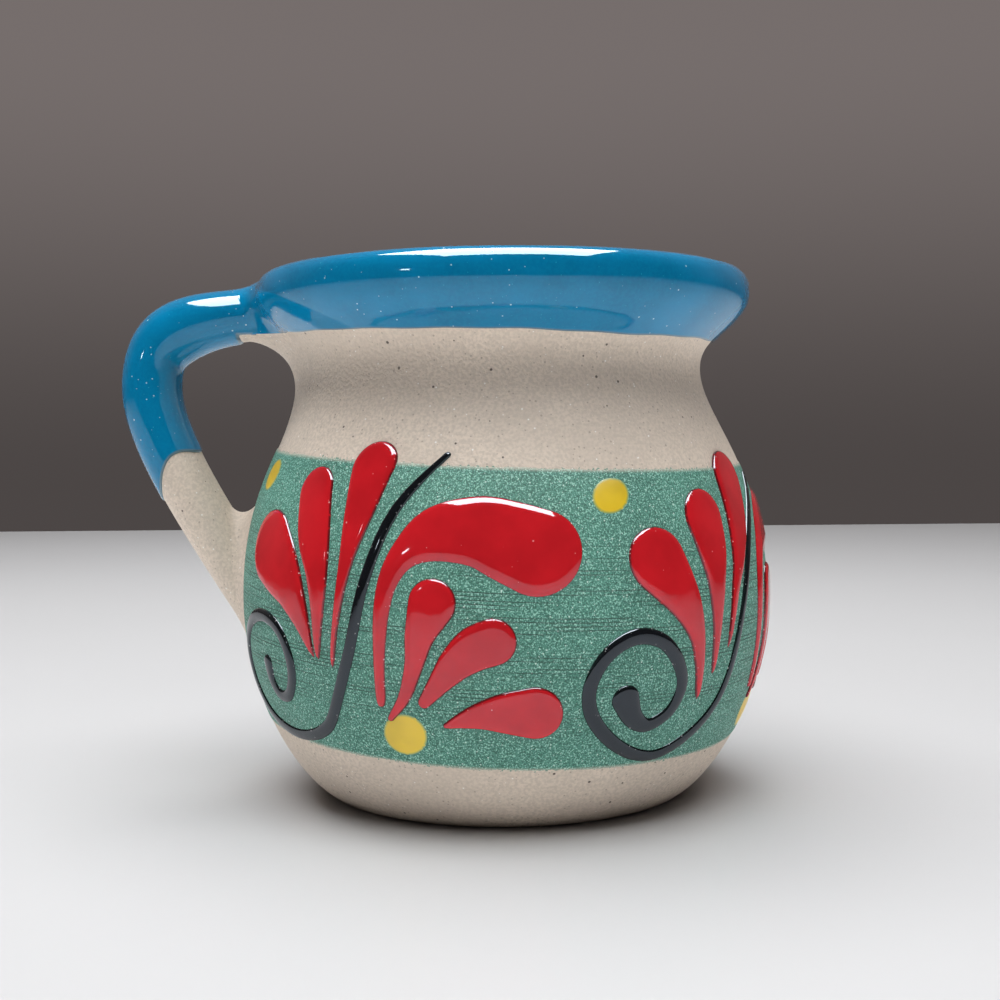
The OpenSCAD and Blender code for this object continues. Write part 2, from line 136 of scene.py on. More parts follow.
# The band: the shares of its height near an edge where rows lie closer, the width of its edge's
# rounding, its depth at the edge and under the lower joint, and the bare clay left round that
# joint, whose rim is found from a number of probes
BAND_CLOSE = np.array([0, 0.002, 0.006, 0.014])
BAND_ROWS = 88
BAND_BACK_ROWS = 24
BAND_BEAD = 0.3 * MM
BAND_SINK = 0.01 * MM
BAND_TUCK = 0.1 * MM
JOINT_GAP = 0.25 * MM
RIM_PROBES = 181

# Pulls of the handle's line at the root, the corner, below it and the lower end
ROOT_PULL = 17.0 * MM
CORNER_PULL = 9.5 * MM
BACK_PULL = 10.0 * MM
TAIL_PULL = 14.0 * MM
# How far the line runs into the wall at each end, and the clay that has to cover the ends
ROOT_DEPTH = 8.0 * MM
TAIL_DEPTH = 12.0 * MM
ROOT_COVER = 2.4 * MM
# Sides of the handle's section, and rows along each of the line's two curves
STRAP_SIDES = 72
STRAP_ROWS = 90
# The coat on the handle: the depth of its edge on the inner side, how much lower it lies on the
# outer side and the power of that slant, a first guess of the edge's place on the line, where
# the coat starts past the wall, and the share of its length that rounds the edge
HANDLE_EDGE_DROP = 32.5 * MM
HANDLE_SLANT = 9.5 * MM
HANDLE_SLANT_POWER = 2.2
HANDLE_EDGE_GUESS = 1.5
HANDLE_COAT_START = 1.5 * MM
HANDLE_EDGE_SHARE = 0.015
HANDLE_COAT_ROWS = 150
HANDLE_BACK_ROWS = 40
# The smears of slip at the handle's joints, above, beside and below the handle: how far each
# follows the handle out of the wall, and how far it runs over the wall
UPPER_OUT = np.array([6.0, 4.0, 9.0]) * MM
UPPER_RUN = np.array([2.2, 4.0, 25.0]) * MM
LOWER_OUT = np.array([7.0, 2.5, 2.5]) * MM
LOWER_RUN = np.array([9.0, 2.5, 2.5]) * MM
# Power with which a smear's run fades, and the share over which it rises off the wall
SMEAR_POWER = 2.45
SMEAR_START = 0.12
# Rings of a smear: the spacing's power, the first share, which is under the wall, the shares
# past the joint, and how far those sink into the handle from a share on
SMEAR_SIDES = 220
SMEAR_ROWS = 52
SMEAR_CLOSER = 1.5
SMEAR_FIRST = -0.12
SMEAR_PAST = (1.04, 1.08)
SMEAR_INSET = 0.6 * MM
INSET_FROM = 0.9
# The hidden rings under a smear: their depth and their shares of the way out to its edge
SMEAR_DEPTH = 2.0 * MM
SUNK_SHARES = np.array([0.02, 0.25, 0.5, 0.75, 1.0])[:, None]
# The glaze over the upper joint: its first and last share, probes for its edge, rows and their
# spacing's power, the rounding and depth of its edge, what it is thicker by at the wall and
# loses over a share, and the share over which its edge passes from the wall to the joint
COAT_ENDS = (SMEAR_FIRST, 1.25)
COAT_PROBES = 241
COAT_ROWS = 90
COAT_CLOSER = 1.6
JOINT_BEAD = 0.5 * MM
JOINT_SINK = 0.1 * MM
JOINT_EXTRA = 0.04 * MM
JOINT_LOSS = 0.06 * MM
JOINT_LOSS_SHARE = 0.4
JOINT_TURN_SHARE = 0.1
# A row of that glaze that surely faces upwards above the handle, and the least length by
# which a direction is divided
UPWARD_ROW = -8
TINY = 1e-12
# The bare clay under the handle's root: how far it reaches from the axis, and how much of the
# handle's coat lies below the edge of the glaze over the joint
BARE_REACH = 49.2 * MM
ROOT_OVERLAP = 0.6 * MM

# The brush strokes: each point is [sideways, height above the middle of the band, half width]
# in millimetres on the flat plan of a motif. The fan and its scroll have two variants.
FAN_OUTER = [[[3.5, -6.6, 0.7], [1, -1.8, 2.2], [-2.5, 2.7, 3.9], [-6.3, 5.9, 5.5],
              [-10, 8.4, 6.5]],
             [[-2.4, -11.9, 0.7], [-3, -7.4, 1.2], [-4.2, -2.3, 1.9], [-6.9, 3.2, 3.4],
              [-11.8, 9.9, 5.4]]]
FAN_MIDDLE = [[[5.3, -6.6, 0.7], [5.2, 0.3, 1.6], [4.3, 6.2, 2.6], [2.2, 12.1, 3.8],
               [0, 18.9, 4]],
              [[0.8, -7.9, 0.6], [1, -0.3, 1.4], [1, 6.6, 2.6], [0.7, 11.6, 3.9],
               [0, 16.4, 4.7]]]
FAN_INNER = [[[8.6, -7.5, 0.5], [9.6, 0.5, 0.8], [10.4, 8.6, 1.5], [10.9, 16.6, 2.9],
              [10.7, 23.6, 4]],
             [[5, -3.9, 0.5], [6.6, 3.6, 1.2], [8.4, 8.6, 2], [10.1, 15, 3.4],
              [11.2, 22.4, 4.6]]]
SCROLL = [[[21.8, 25.9, 0.5], [17.1, 16.9, 0.9], [14.4, 5.9, 1], [11.9, -6.4, 1.1],
           [7, -17.4, 1.1], [2.7, -21.4, 1.1], [-3.2, -23.2, 1], [-9.2, -23.1, 1],
           [-14.8, -21.4, 1], [-19.5, -17.6, 1], [-21.3, -12.6, 1], [-19.6, -7.6, 1.1],
           [-15.3, -4.3, 1.2], [-10.3, -3.4, 1.2], [-5.7, -4.8, 1.2], [-2.9, -8.2, 1.2],
           [-2.3, -12.2, 1.2], [-4.1, -15.9, 1.1], [-7.2, -16.8, 1.1], [-9.6, -14.8, 1.2],
           [-10.3, -11.6, 1.5]],
          [[22.6, 22.5, 0.6], [14.3, 12.9, 1], [9.3, 0.6, 0.9], [5.9, -10.6, 0.9],
           [3, -15.9, 0.9], [-1, -19.5, 1], [-5.5, -22, 1], [-9.5, -22.8, 1], [-14, -21.6, 1.1],
           [-18.6, -18.6, 1.1], [-22, -14.6, 1.1], [-23.1, -10.3, 1.1], [-21.9, -6, 1.2],
           [-19, -3, 1.3], [-15.3, -1.9, 1.4], [-11.2, -3.2, 1.3], [-8.2, -6.4, 1.3],
           [-6.5, -10.4, 1.2], [-7.6, -14.3, 1.2], [-10, -16.4, 1.2], [-12.6, -17, 1.3],
           [-15.2, -15.3, 1.7], [-17.1, -12.1, 2.3]]]
COMMA = [[-15.6, -13.5, 0.9], [-15.9, -7, 1.1], [-15.7, 1, 1.5], [-14.5, 6.6, 1.9],
         [-11.7, 10.8, 2.7], [-7, 13.7, 4.4], [-0.5, 14.3, 5.6], [4.5, 12.9, 6.4],
         [9, 11.3, 6.9]]
SPRAY_UPPER = [[-13.9, -16.4, 0.6], [-11.6, -12.5, 1.1], [-10.1, -7.2, 1.6], [-9.2, -2.2, 2.5],
               [-7.4, 2.9, 3.9]]
SPRAY_MIDDLE = [[-8.3, -13.1, 1.1], [-5.8, -9.6, 1.9], [-3.3, -6.4, 2.8], [-0.4, -3.9, 3.6],
                [2.4, -2.7, 3.8]]
SPRAY_LOWER = [[-4.8, -16.8, 0.5], [-1.8, -15.6, 1.5], [1.2, -14.7, 2.4], [5, -14.2, 3.5],
               [9.3, -14.1, 4.4]]
# The round dots of a motif are strokes of next to no length
DOT_STEP = 0.1
SHOULDER_DOT = [[19.8 + step, 20.2, 3] for step in (-DOT_STEP, 0, DOT_STEP)]
SPRAY_DOT = [[-11.6 + step, -19.1, 3.8] for step in (-DOT_STEP, 0, DOT_STEP)]
# The pieces made of petals: name, CAD node and plans
FANS = (("outer_fan_petals", "fan_petal_outer", FAN_OUTER),
        ("middle_fan_petals", "fan_petal_middle", FAN_MIDDLE),
        ("inner_fan_petals", "fan_petal_inner", FAN_INNER))
SPRAYS = (("upper_spray_petals", "spray_petal_upper", [SPRAY_UPPER]),
          ("middle_spray_petals", "spray_petal_middle", [SPRAY_MIDDLE]),
          ("lower_spray_petals", "spray_petal_lower", [SPRAY_LOWER]))
# Motifs round the mug, the belly's radius that their plans are drawn for, and the bearings of
# the first fan and the first spray
PLACES = 4
PLAN_R = 48.9 * MM
FAN_BEARING = math.radians(-45)
SPRAY_BEARING = math.radians(-5)
# Rows along a stroke and round the cap at each end, points over it and under it, the angle at
# which a cap's rings stop, and the most that the brush grows for each step forward
STROKE_ROWS = 84
CAP_ROWS = 12
OVER_POINTS = 21
UNDER_POINTS = 7
CAP_STOP = 0.12
MOST_GROWTH = 0.9
# What the thin end of a stroke is drawn out by, and its half width there
FAN_TAIL = 1.8 * MM
COMMA_TAIL = 0.7 * MM
TAIL_HALF = 0.16 * MM
# Heights of the strokes as shares of the enamel's: half of it is lost on the thinnest strokes,
# at a rate set by a half width, and no stroke is higher than a share of its half width; last,
# the depth of a stroke's hidden side
PETAL_HEIGHT = 0.93
COMMA_HEIGHT = 0.98
DOT_HEIGHT = 0.375
THIN_HALF = 1.2 * MM
STEEPEST = 0.85
STROKE_TUCK = 0.12 * MM
# Widths over which the strokes rise, and the two powers of their domes
FLANK = 1.5 * MM
COMMA_FLANK = 2.3 * MM
SHOULDER_DOT_FLANK = 2.6 * MM
SPRAY_DOT_FLANK = 2.8 * MM
DOME = (2.3, 2.3)
COMMA_DOME = (2.0, 1.25)

# Colours of the small features of the finishes, in linear light
CLAY_DUST = (0.16, 0.115, 0.08)
CLAY_IRON = (0.045, 0.03, 0.022)
# Mica flakes in the clay, their sparkle painted as bright points
CLAY_MICA_SPARKLE = (0.9, 0.88, 0.84)
GREEN_PALE = (0.36, 0.66, 0.56)
GREEN_GLINT = (0.72, 0.86, 0.8)
BLUE_FINE = (0.003, 0.24, 0.44)
BLUE_DUST = (0.05, 0.5, 0.68)
# Pale specks painted on the glaze as sparkling glints
BLUE_SPARKLE_GLINT = (0.6, 0.85, 0.92)
# A grey line painted along the glaze's edges as the shadow of the thick edge
GLAZE_EDGE_SHADOW = (0.15, 0.2, 0.215)
BLUE_TINT = (0.7, 0.9, 1, 1)
ENAMEL_TINT = (0.78, 0.88, 1, 1)
# Dark rims of the enamels, painted as shade along the strokes' edges where they meet the band
RED_EDGE_SHADE = (0.06, 0.008, 0.01)
BLACK_EDGE_SHADE = (0.01, 0.02, 0.018)
YELLOW_EDGE_SHADE = (0.17, 0.36, 0.16)
# Grains at the band's edges: distances from the edge, and the noise they need there
SPILL = ((-0.2 * MM, 0.9 * MM), (0.45, 0.95))
BARE = ((-0.3 * MM, 0.8 * MM), (0.52, 0.9))
# The green thins out over these distances inside the edge, and the sponge reached the clay up
# to this far past the belly's radius
THIN = (0.7 * MM, -0.2 * MM)
SPONGE_REACH = (1.5 * MM, 1.0 * MM)
# Turning lines on the green: their pitch, and the heights between which they come and go
LINE_PITCH = 0.62 * MM
LINES_LOW = (0.016, 0.028)
LINES_HIGH = (0.056, 0.044)

# The camera's sensor and nearest distance, and its shift as a share of the sensor
SENSOR_MM = 36.0
CLIP_START = 0.01
CAMERA_SHIFT = -0.0045
# The floor's ends towards the camera, away from it and sideways, and its gap below the base
FLOOR_NEAR = -0.45
FLOOR_FAR = 0.80
FLOOR_SIDE = 1.4
FLOOR_GAP = 0.05 * MM
# Place and size of each light, and the point that they face
KEY_BOX = ((-0.06, -0.03, 0.9), (1.1, 0.85))
GLOSS_BOX = ((0.01, -0.065, 0.85), (0.76, 0.73))
WINDOW_BOX = ((-0.745, -0.8, 0.3), (0.065, 0.05))
AIM = (0, 0, 0.05)
# Light that the floor gives back: square rings round the base, each with its inner and outer
# half side and its strength, at a height over the floor
BOUNCE_RINGS = ((0.041, 0.085, 0.4), (0.085, 0.21, 1.0))
BOUNCE_LIFT = 0.5 * MM
# The surroundings: the range of a direction's Z in which the wall grows lighter and of its Y
# in which wall takes over from room, and how light the wall starts and the room stays
WALL_Z = (-0.03, 0.27)
ROOM_Y = (-0.2, 0.6)
WALL_START = 0.4
ROOM_LIGHT = 0.15


def length(name, about, mm):
    """A size for the sidebar, given here in millimetres and kept in metres."""
    return FloatProperty(name=name, description=about, default=mm * MM, min=0.0, precision=5,
                         unit="LENGTH")


def turn(name, about, degrees):
    """An angle for the sidebar, given here in degrees and kept in radians."""
    return FloatProperty(name=name, description=about, default=math.radians(degrees),
                         subtype="ANGLE")


def tint(name, about, *rgb):
    """A colour for the sidebar, in linear light."""
    return FloatVectorProperty(name=name, description=about, default=rgb, min=0.0, max=1.0,
                               subtype="COLOR")


class FormSizes(PropertyGroup):
    """Sizes of the thrown pot"""

    height: length("Height", "Overall height, glaze included", CAD_BOX[1][2] / MM)
    foot_r: length("Foot radius", "Radius of the base where it meets the table", 33)
    foot_turn: turn("Foot angle", "Rise of the rounded corner above the base", 21)
    belly_r: length("Belly radius", "Radius of the clay at the widest part", 48.9)
    belly_z: length("Belly height", "Height of the widest part", 36.5)
    neck_r: length("Neck radius", "Radius of the clay at the narrowest part", 36.8)
    neck_drop: length("Neck depth", "Depth of the narrowest part below the top", 18)
    wall: length("Wall", "Thickness of the thrown wall", 4.5)
    floor: length("Floor", "Thickness of the floor", 6)
    floor_r: length("Floor radius", "Radius of the flat part of the floor inside", 26)
    lip_ring: length("Lip ring", "Radius of the circle that the lip's middle follows", 42.7)
    lip_r: length("Lip rounding", "Radius of the rounding of the lip", 2.75)


class HandleSizes(PropertyGroup):
    """Sizes of the pulled handle"""

    root_drop: length("Root depth", "Depth of the upper root below the top", 6.7)
    reach: length("Reach", "How far the handle's line stands out past the belly", 17.5)
    out_drop: length("Corner depth", "Depth where the handle stands farthest out", 20.5)
    tail_z: length("Tail height", "Height where the handle's line runs into the belly", 38.3)
    tail_turn: turn("Tail angle", "Angle between the lower end and the vertical", 32)
    thick: length("Thickness", "Thickness in side view at the middle", 10.4)
    root_thick: length("Root thickness", "Thickness in side view at the upper root", 9.2)
    tail_thick: length("Tail thickness", "Thickness in side view at the lower end", 9.8)
    swell: length("Corner swell", "Extra thickness at the upper corner", 1.3)
    width: length("Width", "Width across", 13.6)


class CoatSizes(PropertyGroup):
    """Sizes of the glaze, the sponged band and the enamel"""

    glaze: length("Glaze", "Thickness of the blue glaze", 0.35)
    glaze_drop: length("Glaze depth", "Depth of the glaze's lower edge below the top", 11.3)
    band: length("Band", "Thickness of the sponged band", 0.15)
    band_low: length("Band low", "Height of the band's lower edge on the axis", 13.8)
    band_high: length("Band high", "Height of the band's upper edge on the axis", 62.5)
    tilt_front: turn("Front tilt", "Tilt of the painted lines towards the front", 2.35)
    tilt_side: turn("Side tilt", "Tilt of the painted lines away from the handle", 2.2)
    enamel: length("Enamel", "Height of the enamel above the clay", 0.8)


class FinishColours(PropertyGroup):
    """Colours of the finishes"""

    clay: tint("Clay", "Bare fired clay", 0.715, 0.61, 0.51)
    slip: tint("Slip", "Slip smeared at the joints", 0.73, 0.62, 0.52)
    green: tint("Green", "Sponged band", 0.086, 0.275, 0.208)
    blue: tint("Blue", "Glaze of the rim, lining and handle", 0.001, 0.175, 0.355)
    red: tint("Red", "Enamel of the petals and commas", 0.61, 0.013, 0.02)
    black: tint("Black", "Enamel of the scrolls", 0.006, 0.007, 0.009)
    yellow: tint("Yellow", "Enamel of the dots", 0.82, 0.56, 0.02)


class StageSettings(PropertyGroup):
    """The floor, the lights and the camera"""

    distance: length("Camera distance", "From the camera to the mug's axis", 270)
    eye: length("Camera height", "Height of the camera above the floor", 64.92)
    pitch: turn("Camera pitch", "How far the camera looks down", 2.37)
    roll: turn("Camera roll", "How far the camera leans to its right", 0.482)
    lens: FloatProperty(name="Lens", description="Focal length on a 36 mm sensor",
                        default=51.24, subtype="DISTANCE_CAMERA")
    key: FloatProperty(name="Key light", description="Power of the overhead soft box",
                       default=18.2, unit="POWER")
    gloss: FloatProperty(name="Gloss light", description="Power of the strip that only gloss sees",
                         default=27.0, unit="POWER")
    window: FloatProperty(name="Window", description="Power of the small light that gloss sees",
                          default=0.2, unit="POWER")
    bounce: FloatProperty(name="Bounce", description="Light given back by the floor, in W/m2",
                          default=2.7, min=0)
    backdrop: tint("Backdrop", "Light and colour of the surroundings", 0.18, 0.155, 0.15)
    table: tint("Floor", "Colour of the floor", 0.52, 0.525, 0.535)


class MugSettings(PropertyGroup):
    """All that a user would change on the mug"""

    form: PointerProperty(type=FormSizes)
    handle: PointerProperty(type=HandleSizes)
    coats: PointerProperty(type=CoatSizes)
    colours: PointerProperty(type=FinishColours)
    stage: PointerProperty(type=StageSettings)


def settings():
    """The mug's settings in the open scene."""
    return bpy.context.scene.clay_mug


def cubic(points, t):
    """Cubic curve from the first to the last of four points, drawn towards the two between."""
    p = np.asarray(points, float)
    t = np.asarray(t, float)[:, None]
    return ((1 - t) ** 3 * p[0] + 3 * t * (1 - t) ** 2 * p[1] + 3 * t * t * (1 - t) * p[2]
            + t ** 3 * p[3])


def cubic_way(points, t):
    """Unit direction of the cubic curve: the weighted steps between its points, made length 1."""
    p = np.asarray(points, float)
    t = np.asarray(t, float)[:, None]
    way = ((1 - t) ** 2 * (p[1] - p[0]) + 2 * t * (1 - t) * (p[2] - p[1])
           + t * t * (p[3] - p[2]))
    return way / np.linalg.norm(way, axis=1, keepdims=True)


def curve_rows(points, count):
    """Rows [radius, height, outward radius, outward height] along a cubic curve of the profile.
    The outward direction is the curve's direction turned a quarter clockwise."""
    t = np.arange(count) / count
    way = cubic_way(points, t)
    return np.hstack([cubic(points, t), way[:, 1:], -way[:, :1]])


def around(count):
    """Evenly spaced angles of a full turn."""
    return np.linspace(0, 2 * math.pi, count, endpoint=False)


def spun(r, z, bearing):
    """Points at a radius from the axis, a height and a bearing."""
    return np.stack(np.broadcast_arrays(r * np.sin(bearing), -r * np.cos(bearing), z), axis=-1)


def bearing_of(points):
    """Bearings of points."""
    return np.arctan2(points[..., 0], -points[..., 1])


def lengths(points):
    """Length along chains of points, from 0 at the first row."""
    step = np.linalg.norm(np.diff(points, axis=0, prepend=points[:1]), axis=-1)
    return np.cumsum(step, axis=0)


def waves(angle, parts):
    """Sum of sine waves, each with a height, a number in a full turn and a phase."""
    return sum(height * np.sin(count * angle + phase) for height, count, phase in parts)


def bead(distance, width):
    """How far a coat has risen to its thickness, as a quarter circle, at a distance from its
    edge."""
    return np.sqrt(1 - (1 - np.clip(distance / width, 0, 1)) ** 2)


class Wall:
    """The clay's profile as tables of length along it: up the outside, over the round lip and
    down the lining to the middle of the floor."""

    def __init__(self, form, coats):
        lip_z = form.height - coats.glaze - form.lip_r
        neck_z = form.height - form.neck_drop
        lip_out = form.lip_ring + form.lip_r
        lip_in = form.lip_ring - form.lip_r
        neck_in = form.neck_r - form.wall
        belly_in = form.belly_r - form.wall
        rise = FOOT_PULL * np.array([math.cos(form.foot_turn), math.sin(form.foot_turn)])
        foot = [[form.foot_r, 0], [form.foot_r + rise[0], rise[1]],
                [form.belly_r, form.belly_z - BELLY_LOW_PULL], [form.belly_r, form.belly_z]]
        shoulder = [foot[3], [form.belly_r, form.belly_z + BELLY_HIGH_PULL],
                    [form.neck_r, neck_z - NECK_LOW_PULL], [form.neck_r, neck_z]]
        flare = [shoulder[3], [form.neck_r, neck_z + NECK_HIGH_PULL], [lip_out, lip_z - LIP_PULL],
                 [lip_out, lip_z]]
        throat = [[lip_in, lip_z], [lip_in, lip_z - LINING_LIP_PULL],
                  [neck_in, neck_z + LINING_NECK_PULL], [neck_in, neck_z]]
        vault = [throat[3], [neck_in, neck_z - LINING_NECK_PULL],
                 [belly_in, form.belly_z + LINING_BELLY_PULL], [belly_in, form.belly_z]]
        bowl = [vault[3], [belly_in, form.belly_z - LINING_LOW_PULL],
                [form.floor_r + LINING_FLOOR_PULL, form.floor], [form.floor_r, form.floor]]
        a = math.pi * np.arange(LIP_ROWS) / LIP_ROWS
        lip = np.stack([form.lip_ring + form.lip_r * np.cos(a), lip_z + form.lip_r * np.sin(a),
                        np.cos(a), np.sin(a)], axis=1)
        r = form.floor_r * np.linspace(1, CENTRE, FLOOR_ROWS)
        flat = np.stack([r, np.full_like(r, form.floor), 0 * r, 1 + 0 * r], axis=1)
        self.rows = np.vstack([
            curve_rows(foot, FOOT_ROWS), curve_rows(shoulder, SHOULDER_ROWS),
            curve_rows(flare, FLARE_ROWS), lip, curve_rows(throat, LINING_ROWS),
            curve_rows(vault, LINING_ROWS), curve_rows(bowl, LINING_ROWS), flat])
        self.s = lengths(self.rows[:, :2])
        self.outer = FOOT_ROWS + SHOULDER_ROWS + FLARE_ROWS + LIP_ROWS // 2 + 1
        self.end = self.s[-1]

    def s_at(self, z):
        """Length along the outside at a height."""
        return np.interp(z, self.rows[:self.outer, 1], self.s[:self.outer])

    def z_at(self, s):
        """Height at a length."""
        return np.interp(s, self.s, self.rows[:, 1])

    def r_at(self, s):
        """Radius at a length."""
        return np.interp(s, self.s, self.rows[:, 0])

    def r_of(self, z):
        """Radius of the outside at a height."""
        return self.r_at(self.s_at(z))

    def place(self, s, bearing, lift):
        """The point at a length and a bearing, lifted off the clay in its outward direction."""
        r, z, way_r, way_z = (np.interp(s, self.s, self.rows[:, k]) for k in range(4))
        size = np.hypot(way_r, way_z)
        return spun(r + lift * way_r / size, z + lift * way_z / size, bearing)


class Painter:
    """The frame that the painter's turntable held the mug in, a little out of true: its origin
    is the middle of the band, and it is turned about X by one tilt and then about Y by the
    other."""

    def __init__(self, coats):
        self.mid = (coats.band_low + coats.band_high) / 2
        self.turned = np.array(Euler((coats.tilt_front, coats.tilt_side, 0)).to_matrix())
        self.up = self.turned[:, 2]

    def edge(self, wall, height, bearing):
        """Length along the wall where a painted height lies, at each bearing: the tilted plane's
        height over a point of the wall, found again at the new height until it settles."""
        z = np.full(np.shape(bearing), float(height))
        for _ in range(EDGE_ROUNDS):
            r = wall.r_of(z)
            lean = self.up[0] * r * np.sin(bearing) - self.up[1] * r * np.cos(bearing)
            z = self.mid + (height - self.mid - lean) / self.up[2]
        return wall.s_at(z)

    def onto(self, wall, across, up, bearing):
        """Length and bearing on the wall of the point of a flat plan that faces a bearing: the
        plan's point is carried outwards from the axis until it meets the clay."""
        side, out = (self.turned @ np.array(v) for v in (
            (math.cos(bearing), math.sin(bearing), 0), (math.sin(bearing), -math.cos(bearing), 0)))
        flat = across[..., None] * side + up[..., None] * self.up + [0, 0, self.mid]
        depth = np.sqrt(PLAN_R ** 2 - across ** 2)
        for _ in range(PLAN_ROUNDS):
            point = flat + depth[..., None] * out
            r = np.hypot(point[..., 0], point[..., 1])
            miss = wall.r_of(point[..., 2]) - r
            depth = depth + miss * r / np.maximum(point[..., :2] @ out[:2], LEAST_FACING * r)
        return wall.s_at(point[..., 2]), bearing_of(point)


class Strap:
    """The handle's line, out of the lip and back into the belly, with its half thickness. Its
    two cubic curves meet where the handle stands farthest out; t runs from 0 to 2 along them."""

    def __init__(self, form, handle, wall):
        self.wall = wall
        root_z = form.height - handle.root_drop
        root = np.array([wall.r_of(root_z) - ROOT_DEPTH, root_z])
        out = np.array([form.belly_r + handle.reach, form.height - handle.out_drop])
        way = np.array([math.sin(handle.tail_turn), math.cos(handle.tail_turn)])
        tail = [wall.r_of(handle.tail_z), handle.tail_z] - TAIL_DEPTH * way
        upper = [root, root + [ROOT_DEPTH + ROOT_PULL, 0], out + [0, CORNER_PULL], out]
        lower = [out, out - [0, BACK_PULL], tail + (TAIL_DEPTH + TAIL_PULL) * way, tail]
        t = np.linspace(0, 1, STRAP_ROWS)
        swell = handle.swell * np.sin(math.pi * t) ** 4
        self.t = np.concatenate([t[:-1], 1 + t])
        self.at = np.vstack([cubic(upper, t)[:-1], cubic(lower, t)])
        self.way = np.vstack([cubic_way(upper, t)[:-1], cubic_way(lower, t)])
        self.half = np.concatenate([
            ((1 - t) * handle.root_thick + t * handle.thick + swell)[:-1],
            (1 - t) * handle.thick + t * handle.tail_thick]) / 2
        self.half_width = handle.width / 2

    def place(self, t, a, coat):
        """Points of the oval section: thickness across the line by the cosine of the angle round
        it, width by its sine. An angle of 0 is the outside of the handle."""
        x, z, way_x, way_z, half = (np.interp(t, self.t, column) for column in (
            self.at[:, 0], self.at[:, 1], self.way[:, 0], self.way[:, 1], self.half))
        across = (half + coat) * np.cos(a)
        return np.stack(np.broadcast_arrays(-(x - across * way_z),
                                            (self.half_width + coat) * np.sin(a),
                                            z + across * way_x), axis=-1)

    def buried(self, a):
        """For each angle round the section, where t first and last lies less than ROOT_COVER
        deep in the wall."""
        spot = self.place(self.t[:, None], a, 0.0)
        depth = self.wall.r_of(spot[..., 2]) - np.hypot(spot[..., 0], spot[..., 1])
        shallow = depth < ROOT_COVER
        columns = np.arange(depth.shape[1])
        ends = []
        for step, first in ((-1, np.argmax(shallow, axis=0)),
                            (1, len(self.t) - 1 - np.argmax(shallow[::-1], axis=0))):
            past = np.clip(first + step, 0, len(self.t) - 1)
            here, there = depth[first, columns], depth[past, columns]
            share = np.clip((ROOT_COVER - here) / np.where(there == here, 1, there - here), 0, 1)
            ends.append(self.t[first] + share * (self.t[past] - self.t[first]))
        return ends


class Smear:
    """Slip smeared round a joint of the handle. Its edge lies on the wall at share 0, which it
    leaves tangentially, and on the handle at share 1; between them its run over the wall fades
    with a power of the share."""

    def __init__(self, wall, strap, part, out, run):
        line = strap.at[part]
        order = np.argsort(line[:, 0])
        self.wall = wall
        self.line = line[order]
        self.half_height = (strap.half[part] / np.abs(strap.way[part, 0]))[order]
        self.half_width = strap.half_width
        self.out = out
        self.run = run
        inside = self.line[:, 0] - wall.r_of(self.line[:, 1])
        self.z = float(np.interp(0, inside, self.line[:, 1]))

    @staticmethod
    def blend(values, way):
        """The value beside the handle, blended into those above and below it."""
        ends = np.where(np.cos(way) > 0, values[0], values[2])
        return values[1] + (ends - values[1]) * np.cos(way) ** 4

    def place(self, share, way):
        """Points at a share of the smear's reach and a direction round the handle, 0 upwards."""
        size = np.abs(share)
        out = share * (1 + SMEAR_START) * size / (size + SMEAR_START) * self.blend(self.out, way)
        inset = SMEAR_INSET * np.maximum(share - INSET_FROM, 0)
        z = np.full(np.broadcast(share, way).shape, self.z)
        for _ in range(SMEAR_ROUNDS):
            reached = self.wall.r_of(z) + out
            half = np.interp(reached, self.line[:, 0], self.half_height) - inset
            z = np.interp(reached, self.line[:, 0], self.line[:, 1]) + np.cos(way) * half
        spread = self.blend(self.run, way) * np.maximum(1 - share, 0) ** SMEAR_POWER - inset
        s = self.wall.s_at(z) + np.cos(way) * spread
        y = np.sin(way) * (self.half_width + spread)
        r = self.wall.r_at(s) + out
        return np.stack([-np.sqrt(r * r - y * y), y, self.wall.z_at(s)], axis=-1)

    def above(self, edge):
        """Shares and directions of the part above an edge, which is given as a height for a
        bearing: each direction starts at the last share that lies below the edge."""
        way = around(SMEAR_SIDES)
        probe = np.linspace(*COAT_ENDS, COAT_PROBES)[:, None]
        spot = self.place(probe, way)
        over = spot[..., 2] - edge(bearing_of(spot))
        last = probe.size - 1 - np.argmax((over <= 0)[::-1], axis=0)
        last = np.minimum(last, probe.size - 2)[None, :]
        low, high = (np.take_along_axis(over, last + k, 0)[0] for k in (0, 1))
        start = probe[last[0], 0] + (probe[1] - probe[0]) * np.clip(-low / (high - low), 0, 1)
        start = np.where((over <= 0).any(axis=0), start, COAT_ENDS[0])
        rows = np.linspace(0, 1, COAT_ROWS)[:, None] ** COAT_CLOSER
        return start + (COAT_ENDS[1] - start) * rows, way

    def sunk(self, ring):
        """Rings from the joint's middle out to below the given one, at SMEAR_DEPTH under the
        wall's surface, so that the hidden side follows the wall."""
        sideways = bearing_of(ring) + math.pi / 2
        middle = self.wall.s_at(self.z)
        s = middle + (self.wall.s_at(ring[..., 2]) - middle) * SUNK_SHARES
        return self.wall.place(s, sideways * SUNK_SHARES - math.pi / 2, -SMEAR_DEPTH)

    def rings(self):
        """Rings of the smear from inside the wall out to the handle, closest near the wall."""
        share = np.concatenate([np.linspace(SMEAR_FIRST, 0, 3, endpoint=False),
                                np.linspace(0, 1, SMEAR_ROWS) ** SMEAR_CLOSER, SMEAR_PAST])
        rings = self.place(share[:, None], around(SMEAR_SIDES))
        return np.concatenate([self.sunk(rings[:1]), rings])


